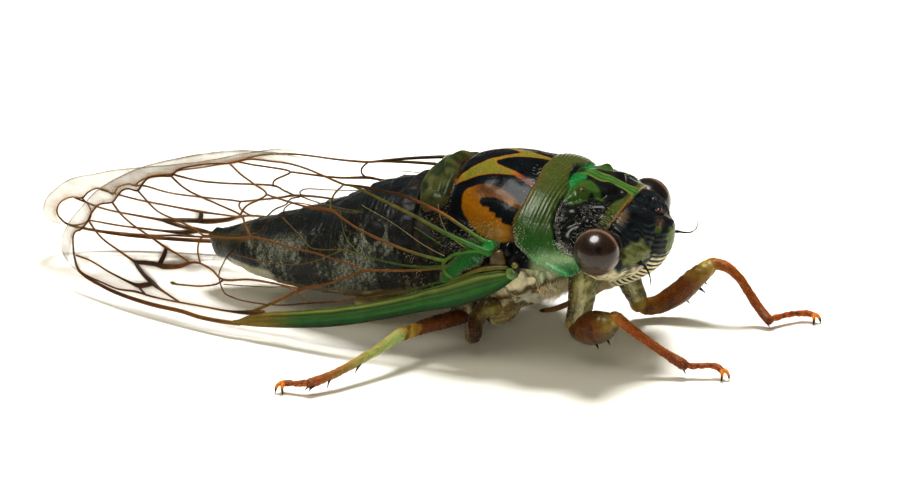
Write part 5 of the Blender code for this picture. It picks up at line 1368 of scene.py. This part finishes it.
def wing_bases():
    """Hinge pieces between plate and wing: glossy brown lumps, black skin and pale green knobs."""
    lumps = [((1.0, 4.55, 5.3), (0.48, 0.34, 0.62), 10, tone(92, 78, 54)),
             ((0.5, 4.62, 4.82), (0.26, 0.2, 0.2), 0, tone(120, 78, 46)),
             ((1.45, 4.3, 5.75), (0.34, 0.3, 0.5), 20, INK),
             ((1.75, 4.35, 4.9), (0.4, 0.25, 0.6), 0, tone(34, 30, 22)),
             ((1.9, 4.95, 4.82), (0.4, 0.2, 0.3), 25, tone(98, 122, 70)),
             ((2.04, 4.85, 5.26), (0.16, 0.14, 0.17), 0, tone(130, 124, 62)),
             ((-0.3, 4.3, 5.2), (0.9, 0.28, 0.5), 0, tone(26, 24, 20))]
    for name, sign in SIDES.items():
        parts = [dome(np.array(c) * (1, sign, 1), r, sign * t, tint, 0.1, lumps=0.1, seed=110 + k)
                 for k, (c, r, t, tint) in enumerate(lumps)]
        pad = wing_place(name, np.array([0.95]), np.array([2.1]), FOREWING_LIFT)[0]
        parts.append(dome(pad, (0.34, 0.2, 0.36), 0, tone(52, 138, 66), 0.1, lumps=0.08, seed=118))
        make_piece("wing_hinge_" + name, parts, PLATE)


# Legs

FRONT_RIGHT = {
    "coxa": [(4.75, 2.2, 4.7, 0.62), (4.95, 2.6, 4.1, 0.74), (5.0, 2.85, 3.5, 0.72), (4.98, 3.1, 2.7, 0.62),
             (4.85, 3.22, 2.15, 0.56)],
    "femur": [(4.72, 3.2, 1.85, 0.42), (5.05, 3.32, 1.72, 0.66), (5.5, 3.45, 1.78, 0.82),
              (6.05, 3.6, 1.98, 0.86), (6.55, 3.72, 2.22, 0.74), (6.95, 3.82, 2.48, 0.52),
              (7.15, 3.88, 2.64, 0.36)],
    "spines": [((5.9, 3.62, 1.42), (6.2, 3.64, 0.8), 0.17), ((6.5, 3.75, 1.72), (6.88, 3.8, 1.2), 0.15),
               ((6.78, 3.82, 2.02), (7.1, 3.86, 1.72), 0.1),
               ((5.35, 3.52, 1.18), (5.45, 3.55, 0.92), 0.09)],
    "tibia": [(7.02, 3.86, 2.72, 0.3), (7.25, 3.9, 2.76, 0.33), (7.75, 3.92, 2.46, 0.27),
              (8.5, 3.9, 1.98, 0.235), (9.3, 3.85, 1.48, 0.23), (10.2, 3.8, 0.98, 0.24),
              (10.75, 3.78, 0.72, 0.29), (10.95, 3.78, 0.62, 0.22)],
    "spurs": [((10.75, 3.8, 0.55), (10.98, 3.84, 0.22), 0.09)],
    "tarsus": [(10.95, 3.76, 0.68, 0.13), (11.3, 3.64, 0.6, 0.17), (11.7, 3.5, 0.62, 0.15),
               (12.1, 3.32, 0.64, 0.155), (12.4, 3.22, 0.58, 0.17), (12.75, 3.28, 0.44, 0.16)],
    "heading": (0.55, 0.5, 0),
}
FRONT_LEFT = {
    "coxa": [(4.8, 2.1, 4.5, 0.6), (5.1, 2.4, 3.7, 0.7), (5.45, 2.7, 2.7, 0.66), (5.8, 2.9, 1.75, 0.58),
             (6.05, 3.0, 1.2, 0.5)],
    "femur": [(6.1, 3.05, 0.85, 0.4), (6.55, 3.3, 0.72, 0.47), (7.0, 3.6, 0.78, 0.5),
              (7.4, 3.85, 1.0, 0.56), (8.0, 4.2, 1.42, 0.6), (8.6, 4.55, 2.05, 0.56),
              (9.1, 4.8, 2.52, 0.48), (9.4, 4.95, 2.8, 0.38)],
    "spines": [((8.6, 4.6, 1.75), (9.22, 4.72, 1.3), 0.14), ((8.9, 4.72, 2.0), (9.3, 4.8, 1.75), 0.1),
               ((8.0, 4.3, 1.1), (8.5, 4.38, 0.72), 0.1)],
    "tibia": [(9.35, 4.98, 2.84, 0.33), (9.7, 5.02, 2.9, 0.31), (10.3, 5, 2.78, 0.27),
              (11, 4.95, 2.28, 0.24), (11.9, 4.75, 1.2, 0.235), (12.6, 4.42, 0.6, 0.25),
              (12.9, 4.3, 0.42, 0.24)],
    "spurs": [((12.75, 4.2, 0.35), (12.98, 4.05, 0.12), 0.08)],
    "tarsus": [(12.8, 4.35, 0.45, 0.14), (13.15, 4.8, 0.46, 0.17), (13.5, 5.25, 0.47, 0.155),
               (13.9, 5.7, 0.45, 0.155), (14.35, 5.98, 0.42, 0.17), (14.75, 6.0, 0.38, 0.15)],
    "heading": (0.8, -0.6, 0),
}
MIDDLE = {
    "coxa": [(0.9, 2.2, 2.4, 0.7), (0.72, 2.9, 2.1, 0.78), (0.6, 3.3, 1.95, 0.72), (0.5, 3.6, 1.9, 0.55)],
    "femur": [(0.58, 3.7, 2.35, 0.4), (0.35, 3.95, 2.42, 0.46), (0.05, 4.2, 2.25, 0.43),
              (-0.15, 4.5, 1.85, 0.4), (-0.15, 4.75, 1.5, 0.37), (-0.05, 4.9, 1.2, 0.33)],
    "spines": [],
    "tibia": [(-0.1, 4.98, 1.05, 0.3), (-0.35, 4.7, 0.9, 0.29), (-0.6, 4.3, 0.8, 0.26),
              (-1, 3.2, 0.62, 0.24), (-1.4, 2.2, 0.5, 0.25)],
    "spurs": [((-1.3, 2.3, 0.35), (-1.55, 2.0, 0.15), 0.08)],
    "tarsus": [(-1.4, 2.25, 0.5, 0.15), (-1.55, 1.95, 0.48, 0.17), (-1.72, 1.65, 0.46, 0.155),
               (-1.9, 1.3, 0.42, 0.165), (-2.1, 1.0, 0.38, 0.15)],
    "heading": (-0.5, -0.8, 0),
}
HIND = {
    "coxa": [(-1.9, 2, 2.1, 0.7), (-1.6, 2.6, 2.0, 0.75), (-1.35, 3.1, 1.88, 0.66),
             (-1.15, 3.45, 1.78, 0.5)],
    "femur": [(-1.2, 3.7, 1.62, 0.36), (-1.45, 4.2, 1.66, 0.4), (-2.0, 5.1, 1.68, 0.4),
              (-2.6, 6.2, 1.7, 0.36), (-3.0, 7.1, 1.7, 0.35), (-3.15, 7.45, 1.7, 0.36)],
    "spines": [],
    "tibia": [(-3.12, 7.45, 1.74, 0.32), (-3.35, 7.95, 1.66, 0.3), (-3.8, 9, 1.38, 0.25),
              (-4.9, 11.2, 0.9, 0.22), (-5.7, 12.35, 0.66, 0.24), (-6.05, 12.75, 0.58, 0.26)],
    "spurs": [((-4.3, 10.3, 0.98), (-4.38, 10.85, 0.62), 0.08),
              ((-5.3, 11.9, 0.65), (-5.25, 12.4, 0.3), 0.08),
              ((-6.0, 12.6, 0.45), (-6.3, 12.85, 0.22), 0.1),
              ((-5.85, 12.8, 0.5), (-6.0, 13.05, 0.25), 0.09)],
    "tarsus": [(-6.0, 12.68, 0.6, 0.15), (-6.35, 12.78, 0.56, 0.18), (-6.7, 12.83, 0.5, 0.155),
               (-7.1, 12.85, 0.48, 0.16), (-7.45, 12.93, 0.44, 0.16)],
    "heading": (-0.25, 0.95, 0),
}
LEGS = {"front_right": FRONT_RIGHT, "front_left": FRONT_LEFT, "middle": MIDDLE, "hind": HIND}
# Pale, olive and dark tone for each leg; the dark one is painted shade on the coxa's rear and underside
COXA_TONES = {"front": (tone(148, 142, 92), tone(96, 96, 50), tone(70, 40, 22)),
              "middle": (tone(126, 116, 70), tone(94, 76, 42), tone(50, 38, 26)),
              "hind": (tone(140, 132, 96), tone(104, 84, 52), tone(60, 46, 34))}
# Along each femur and tibia: place and screen colour
FEMUR_TONES = {"front": [(0.0, 150, 132, 58), (0.16, 116, 80, 24), (0.4, 98, 54, 16),
                         (0.66, 102, 58, 20), (0.84, 126, 104, 40), (1.0, 168, 148, 78)],
               "middle": [(0.0, 120, 102, 50), (0.3, 112, 108, 56), (0.6, 78, 60, 32),
                          (1.0, 48, 30, 18)],
               "hind": [(0.0, 66, 34, 16), (0.35, 86, 46, 18), (0.7, 104, 60, 24),
                        (0.8, 150, 124, 52), (0.9, 160, 142, 60), (1.0, 128, 76, 34)]}
TIBIA_TONES = {"front": [(0.0, 170, 144, 80), (0.08, 150, 108, 44), (0.2, 146, 80, 20), (0.6, 136, 70, 16),
                         (0.9, 122, 58, 14), (1.0, 100, 44, 14)],
               "middle": [(0.0, 58, 38, 22), (0.3, 110, 92, 44), (0.6, 140, 96, 44), (1.0, 150, 72, 34)],
               "hind": [(0.0, 160, 138, 80), (0.1, 150, 172, 108), (0.4, 160, 172, 104),
                        (0.7, 152, 118, 62), (0.92, 148, 82, 44), (1.0, 110, 58, 34)]}


def colour_run(table, along):
    """Colour along a part from rows of a place and a screen colour."""
    places = [row[0] for row in table]
    colours = np.array([tone(*row[1:]) for row in table])
    return np.stack([np.interp(along, places, colours[:, k]) for k in range(3)], -1)


def limb(stations, sides, steps, knots=()):
    """Tube of a leg part with shallow waists at its joints; gives grid, place, facing and chart."""
    grid, along, length = tube_grid(stations, sides, steps)
    centre = grid.mean(axis=1, keepdims=True)
    grid = swelled(grid, 1 - 0.2 * sum((close_to(along, knot, 0.035) for knot in knots), 0 * along))
    grid = raised(grid, 0.012 * ripple(grid, 0.35, 121))
    facing = (grid - centre) / np.maximum(np.linalg.norm(grid - centre, axis=-1, keepdims=True), 1e-9)
    angle = np.linspace(0, 2 * np.pi, sides, endpoint=False)
    along = along[:, None] + 0 * angle
    return grid, along, facing, stacked(angle * 1.2, along * length * 0.5, 0.0)


def thorn(base, tip, radius, sign, colour=INK):
    """Slim spine from a place to a tip, brown at its root; sign mirrors it to the other side."""
    base, tip = np.array(base) * (1, sign, 1), np.array(tip) * (1, sign, 1)
    middle = base + (tip - base) * 0.55 + (0, 0, 0.03)
    grid, along, _ = tube_grid([(*base, radius), (*middle, radius * 0.55), (*tip, 0.012)], 12, 5)
    return skin(grid, tint=mix(DARK_BROWN, colour, smooth(0.1, 0.4, along)[:, None]), wax=0.1, chart=grid)


# Each claw's stations: forward, sideways, up and radius; the point's third value is above the floor
CLAW = [(-0.12, 0, 0, 0.12), (0.12, 0.08, 0.03, 0.11), (0.27, 0.15, -0.05, 0.09), (0.34, 0.2, -0.2, 0.065)]
CLAW_POINT = (0.34, 0.23, 0.02, 0.022)


def claw_pair(tip, heading, sign):
    """Two hooked claws: they rise a little, spread, and come down to points on the floor."""
    heading = np.array(heading) / np.linalg.norm(heading)
    side = np.cross(heading, (0, 0, 1))
    parts = []
    for way in (-1, 1):
        forward, out, up, radius = np.array([*CLAW, CLAW_POINT]).T[..., None]
        path = tip[:3] + heading * forward + side * way * out + up * (0, 0, 1)
        path[-1, 2] = CLAW_POINT[2]
        grid, along, _ = tube_grid(np.hstack([path * (1, sign, 1), radius]), 14, 6)
        along = along[:, None]
        tint = mix(mix(tone(150, 70, 28), AMBER, smooth(0.1, 0.45, along)), INK, smooth(0.62, 0.8, along))
        parts.append(skin(grid, tint=tint, wax=0.1, chart=grid))
    return parts


# Joints of the tarsus, as places along it
TARSUS_KNOTS = (0.34, 0.62)
# Grid, length, colour, count and width of the hairs of each leg part, gathered as it is made
LEG_HAIR = []


def coxa(place, name, paths, sign):
    """First leg part with its trochanter: streaked pale and olive, darker behind and below as painted
    shade.
    """
    grid, _, facing, chart = limb(paths["coxa"], 44, 16)
    pale, olive, dark = COXA_TONES[place]
    ahead, streak = facing[..., 0], ripple(chart * (2.0, 0.7, 1.0), 0.5, 137)
    tint = painted(pale,
                   (olive, smooth(-0.5, 0.6, ripple(grid, 0.55, 131))),
                   # Darker on faces turned back and down: painted shade on the coxa's rear and underside
                   (dark, smooth(0.1, -0.65, ahead + 0.4 * facing[..., 2]) * 0.9),
                   (tone(52, 48, 32), 0.7 * smooth(0.5, 1.2, ripple(grid, 0.28, 132))),
                   (tone(206, 202, 176), (0.45 + 0.4 * streak).clip(0, 1) * close_to(ahead, 0.35, 0.3)),
                   (tone(58, 44, 26), 0.7 * close_to(ahead, -0.25, 0.12) * smooth(-0.6, 0.3, streak)),
                   (tone(60, 54, 38), 0.6 * smooth(0.3, 1.0, streak)))
    parts = [skin(grid, tint=tint, wax=0.5, chart=chart, lined=0.3)]
    LEG_HAIR.append((grid, 0.16, CREAM, 260, 0.009))
    if place == "hind":
        parts.append(thorn((-1.55, 2.95, 1.75), (-2.55, 3.22, 1.25), 0.22, sign, tone(120, 132, 92)))
    if place == "front":
        ends = [(*paths["coxa"][-1][:3], 0.5), (*paths["femur"][0][:3], 0.5)]
        joint, _, _, joint_chart = limb(ends, 30, 8)
        parts.append(skin(joint, tint=tone(134, 112, 48), wax=0.3, chart=joint_chart, lined=0.2))
    make_piece("coxa_" + name, parts, LIMB, ["leg_" + name + "_coxa"])


def femur(place, name, paths, spines, sign):
    """Second leg part, streaked brown, with thorns below on the front legs."""
    grid, along, facing, chart = limb(paths["femur"], 48, 18)
    tint = colour_run(FEMUR_TONES[place],
                      along + 0.035 * ripple(grid * 1.5, 0.8, 136) + 0.03 * facing[..., 2])
    under = smooth(-0.1, -0.75, facing[..., 2]) * smooth(0.12, 0.35, along) * smooth(0.95, 0.8, along)
    streak = smooth(0.0, 1.1, ripple(chart * (0.4, 2.5, 1.0), 0.7, 133))
    tint = painted(tint, (tone(104, 94, 78), under * 0.75 * (place == "front")),
                   (tone(60, 34, 18), 0.7 * streak),
                   (tone(60, 34, 22), 0.5 * close_to(along, 0.955, 0.02) * (place == "hind")))
    parts = [skin(grid, tint=tint, wax=0.12 + 0.4 * under, chart=chart, lined=0.2)]
    parts += [thorn(a, b, r, sign) for a, b, r in spines]
    LEG_HAIR.append((grid, 0.11, tone(180, 140, 90), 160, 0.007))
    make_piece("femur_" + name, parts, LIMB, ["leg_" + name + "_femur"])


def shank(place, name, paths, sizes, sign):
    """Tibia with its spurs, three tarsus joints and two claws."""
    grid, along, facing, chart = limb(paths["tibia"], 34, 16)
    grain = smooth(0.0, 1.1, ripple(chart * (0.6, 2.0, 1.0), 0.4, 134))
    tint = painted(colour_run(TIBIA_TONES[place], along),
                   (DARK_BROWN, 0.22 * grain * smooth(0.1, 0.4, along)),
                   # Paler orange on faces turned up: painted light along the tibia's top
                   (tone(190, 118, 52), 0.25 * smooth(0.5, 0.95, facing[..., 2])))
    parts = [skin(grid, tint=tint, wax=0.15, chart=chart, lined=0.55)]
    LEG_HAIR.append((grid, 0.14, tone(206, 160, 110), 360, 0.007))
    grid, along, _, chart = limb(paths["tarsus"], 26, 12, knots=TARSUS_KNOTS)
    tint = painted(tone(176, 92, 18), (tone(128, 62, 12), 0.5 + 0.45 * ripple(grid, 0.3, 135)),
                   (DARK_BROWN, 0.7 * sum(close_to(along, knot, 0.03) for knot in TARSUS_KNOTS)))
    parts.append(skin(grid, tint=tint, wax=0.15, chart=chart, lined=0.3))
    LEG_HAIR.append((grid, 0.1, tone(206, 150, 90), 140, 0.007))
    parts += [thorn(a, b, r, sign, tone(30, 18, 12)) for a, b, r in sizes["spurs"]]
    parts += claw_pair(sizes["tarsus"][-1], sizes["heading"], sign)
    make_piece("shank_" + name, parts, LIMB, ["leg_" + name + "_shank"])


def leg(place, side):
    """One leg in three pieces; middle and hind legs are alike on both sides."""
    name, sign = place + "_" + side, SIDES[side]
    sizes = LEGS.get(name, LEGS.get(place))
    paths = {key: [(x, sign * y, *rest) for x, y, *rest in sizes[key]]
             for key in ("coxa", "femur", "tibia", "tarsus")}
    coxa(place, name, paths, sign)
    femur(place, name, paths, sizes["spines"], sign)
    shank(place, name, paths, sizes, sign)


# Hair

def hair_on(name, jobs):
    """One mesh of tufts from jobs: grid, weight, count, length, width, colour, then how far a hair
    lies back and down and how steeply it stands; each also lies outward a little."""
    parts = []
    for seed, (grid, weight, count, length, width, colour, back, down, stand) in enumerate(jobs):
        root, normal, place, rng = scatter(grid, weight, count, 200 + seed)
        lean = stacked(-back, 0.15 * np.sign(root[:, 1]), -down)
        parts.append(tufts(root, normal, lean, length, width, colour, place, rng, stand))
    make_piece(name, parts, HAIR)


def shield_hair(grid, collar, side, disc):
    """Pale down on the shield's lobes, collar and front edge, and short hairs on its disc."""
    x = grid[..., 0]
    front_edge = np.interp(side, COLLAR_ANGLES, COLLAR_FRONT)
    clumps = smooth(-0.3, 0.9, ripple(grid, 0.45, 151))
    low_lobe = collar * smooth(72, 80, side) * smooth(104, 96, side)
    disc_weight = disc * smooth(30, 40, side) * smooth(95, 85, side) * (0.15 + clumps)
    edge = disc * close_to(x, front_edge + 0.15, 0.16) * smooth(25, 45, side)
    collar_front = close_to(x, front_edge + 0.1, 0.3) * smooth(66, 74, side) * smooth(92, 84, side)
    front = disc * smooth(5.3, 6.0, x + 0.01 * side) * smooth(30, 45, side)
    hair_on("shield_hair", [
        (grid, disc_weight ** 2, 260, 0.13, 0.008, SILVER, 0.6, 0.8, 0.6),
        (grid, disc_weight, 300, 0.14, 0.008, tone(84, 66, 40), 0.5, 0.6, 0.65),
        (grid, edge, 420, 0.15, 0.009, SILVER, -0.8, 0.5, 0.7),
        (grid, front, 420, 0.2, 0.008, SILVER, -0.9, 0.5, 0.55),
        (grid, low_lobe, 900, 0.09, 0.009, tone(226, 236, 224), -0.3, 0.8, 0.7),
        (grid, collar_front, 700, 0.13, 0.009, tone(226, 232, 220), -0.6, 0.7, 0.7),
        (grid, collar * close_to(side, 72, 7) * smooth(2.9, 2.2, x), 320, 0.09, 0.009, SILVER, 0.3, 0.8,
         0.7),
    ])


def back_hair(grid, fold, side, rear_grid, rear_side):
    """Hairs at the front, sides and rear hollows of the main back plate and on the plate behind."""
    x = grid[..., 0]
    front = smooth(1.6, 2.1, x) * smooth(88, 70, side) * smooth(6, 14, side)
    groove = smooth(58, 66, side + 5 * x) * smooth(88, 80, side) * smooth(1.2, 0.4, x)
    hollow = smooth(-1.95, -2.3, x) * (1 - smooth(0.1, 0.35, fold))
    hair_on("back_hair", [
        (grid, front, 460, 0.18, 0.009, tone(226, 218, 200), 0.9, 0.35, 0.4),
        (grid, groove * smooth(-2.5, -1.5, x), 600, 0.15, 0.009, tone(200, 190, 160), 0.6, 0.5, 0.6),
        (grid, hollow, 900, 0.18, 0.008, tone(92, 78, 54), 0.8, 0.3, 0.5),
        (grid, hollow * smooth(30, 50, side), 420, 0.16, 0.007, SILVER, 0.8, 0.5, 0.45),
        (rear_grid, smooth(88, 70, rear_side), 620, 0.16, 0.008, tone(70, 58, 40), 0.8, 0.4, 0.4),
    ])


def flank_hair(grid):
    """Cream wool on the flanks, with a long fringe behind the front legs."""
    x, z = grid[..., 0], grid[..., 2]
    low = smooth(4.9, 4.4, z)
    fringe = smooth(2.6, 3.2, x) * smooth(4.6, 4.2, x) * smooth(4.2, 3.6, z)
    hair_on("flank_hair", [
        (grid, low * smooth(0.0, 0.9, ripple(grid, 0.6, 161)), 1800, 0.16, 0.009, tone(222, 216, 192), 0.5,
         0.9, 0.4),
        (grid, fringe, 2000, 0.65, 0.01, tone(226, 214, 180), -0.3, 1.0, 0.6),
        (grid, low * smooth(2.4, 1.6, z), 900, 0.28, 0.01, CREAM, 0.4, 0.8, 0.5),
    ])


def abdomen_hair(grid, silver, flank):
    """Short silvery hairs where the rings look silver, and sparse brown ones on the flanks."""
    x = grid[..., 0]
    hair_on("abdomen_hair", [
        (grid, silver ** 1.5 * smooth(-15.0, -14.0, x), 7500, 0.1, 0.006, tone(170, 176, 172), 1.0, 0.25,
         0.22),
        (grid, (0.15 + flank) * smooth(-15.0, -14.0, x), 2600, 0.11, 0.007, tone(104, 96, 80), 1.0, 0.3,
         0.25),
    ])


def leg_hair():
    """Short hairs along every leg part, clear of the floor."""
    parts = []
    for seed, (grid, length, colour, count, width) in enumerate(LEG_HAIR):
        root, normal, place, rng = scatter(grid, np.ones(grid.shape[:2]), count, 300 + seed)
        along = grid[-4].mean(axis=0) - grid[4].mean(axis=0)
        lean = np.broadcast_to(along / np.linalg.norm(along), root.shape)
        keep = root[:, 2] > 0.12
        parts.append(tufts(root[keep], normal[keep], lean[keep], length, width, colour, place[keep], rng,
                           0.55))
    make_piece("leg_hair", parts, HAIR)


# Stage, light and camera

FLOOR_SIZE = 6.0
SURROUND = (1.0, 0.93, 0.76)
SURROUND_STRENGTH = 0.14
WARM = (1.0, 0.94, 0.74)
LIGHT_AIM = (0.0, 0.0, 0.004)
# Name, place in metres, width, power and colour; only the glint shows in reflections
LIGHTS = [("glint", (-0.035, -0.075, 0.32), 0.22, 1.4, (1.0, 0.99, 0.97)),
          ("overhead", (-0.035, -0.06, 0.32), 0.25, 0.22, WARM),
          ("back", (-0.03, 0.14, 0.255), 0.08, 1.02, (1.0, 0.98, 0.94)),
          ("fill", (0.12, -0.3, 0.07), 0.2, 0.45, WARM)]
CAMERA_PLACE = (89.99, -227.51, 94.93)
CAMERA_AIM = (2.66, 0.0, 4.3)
LENS = 198.64
EXPOSURE = 0.28
GAMMA = 0.82


def turned_to(thing, place, aim):
    """Set a light or camera at a place in metres and turn it to look at its aim."""
    thing.location = place
    thing.rotation_euler = (Vector(aim) - Vector(place)).to_track_quat("-Z", "Y").to_euler()
    bpy.context.scene.collection.objects.link(thing)


def soft_light(name, place, size, power, colour):
    """Round soft light at a place in metres, turned to the animal."""
    data = bpy.data.lights.new(name, "AREA")
    data.shape = "DISK"
    data.size = size
    data.energy = power
    data.color = colour
    lamp = bpy.data.objects.new(name, data)
    turned_to(lamp, place, LIGHT_AIM)
    return lamp


def set_stage():
    """Pale floor, a dim warm surround, and the lights."""
    bpy.ops.mesh.primitive_plane_add(size=FLOOR_SIZE)
    floor = bpy.context.object
    floor.name = "pale_floor"
    floor.data.materials.append(floor_material())
    world = bpy.data.worlds.new("surround")
    bpy.context.scene.world = world
    world.use_nodes = True
    wire(world.node_tree, world.node_tree.nodes["Background"],
         {"Color": (*SURROUND, 1.0), "Strength": SURROUND_STRENGTH})
    for name, place, size, power, colour in LIGHTS:
        lamp = soft_light(name, place, size, power, colour)
        lamp.visible_diffuse = name != "glint"
        lamp.visible_glossy = name == "glint"


def set_camera():
    """Long lens at the photo's angle, on a point under the wing bases."""
    data = bpy.data.cameras.new("camera")
    data.sensor_width = 36.0
    data.lens = LENS
    data.clip_start = 0.01
    data.clip_end = 20.0
    camera = bpy.data.objects.new("camera", data)
    turned_to(camera, np.array(CAMERA_PLACE) * MM, np.array(CAMERA_AIM) * MM)
    bpy.context.scene.camera = camera


def build():
    """Every piece of the animal; the hairs grow on the grids that the plates give back."""
    shield, collar, shield_side, disc = pronotum()
    back, fold, back_side = mesonotum()
    rear, rear_side = metanotum()
    flanks = trunk()
    rings, silver, flank = abdomen()
    plates()
    head()
    face()
    eyes()
    crown_eyes()
    antennae()
    rostrum()
    forewings()
    hindwings()
    wing_bases()
    for place in COXA_TONES:
        for side in SIDES:
            leg(place, side)
    shield_hair(shield, collar, shield_side, disc)
    back_hair(back, fold, back_side, rear, rear_side)
    flank_hair(flanks)
    abdomen_hair(rings, silver, flank)
    leg_hair()


set_stage()
set_camera()
build()
bpy.context.scene.view_settings.view_transform = "Standard"
bpy.context.scene.view_settings.exposure = EXPOSURE
bpy.context.scene.view_settings.gamma = GAMMA
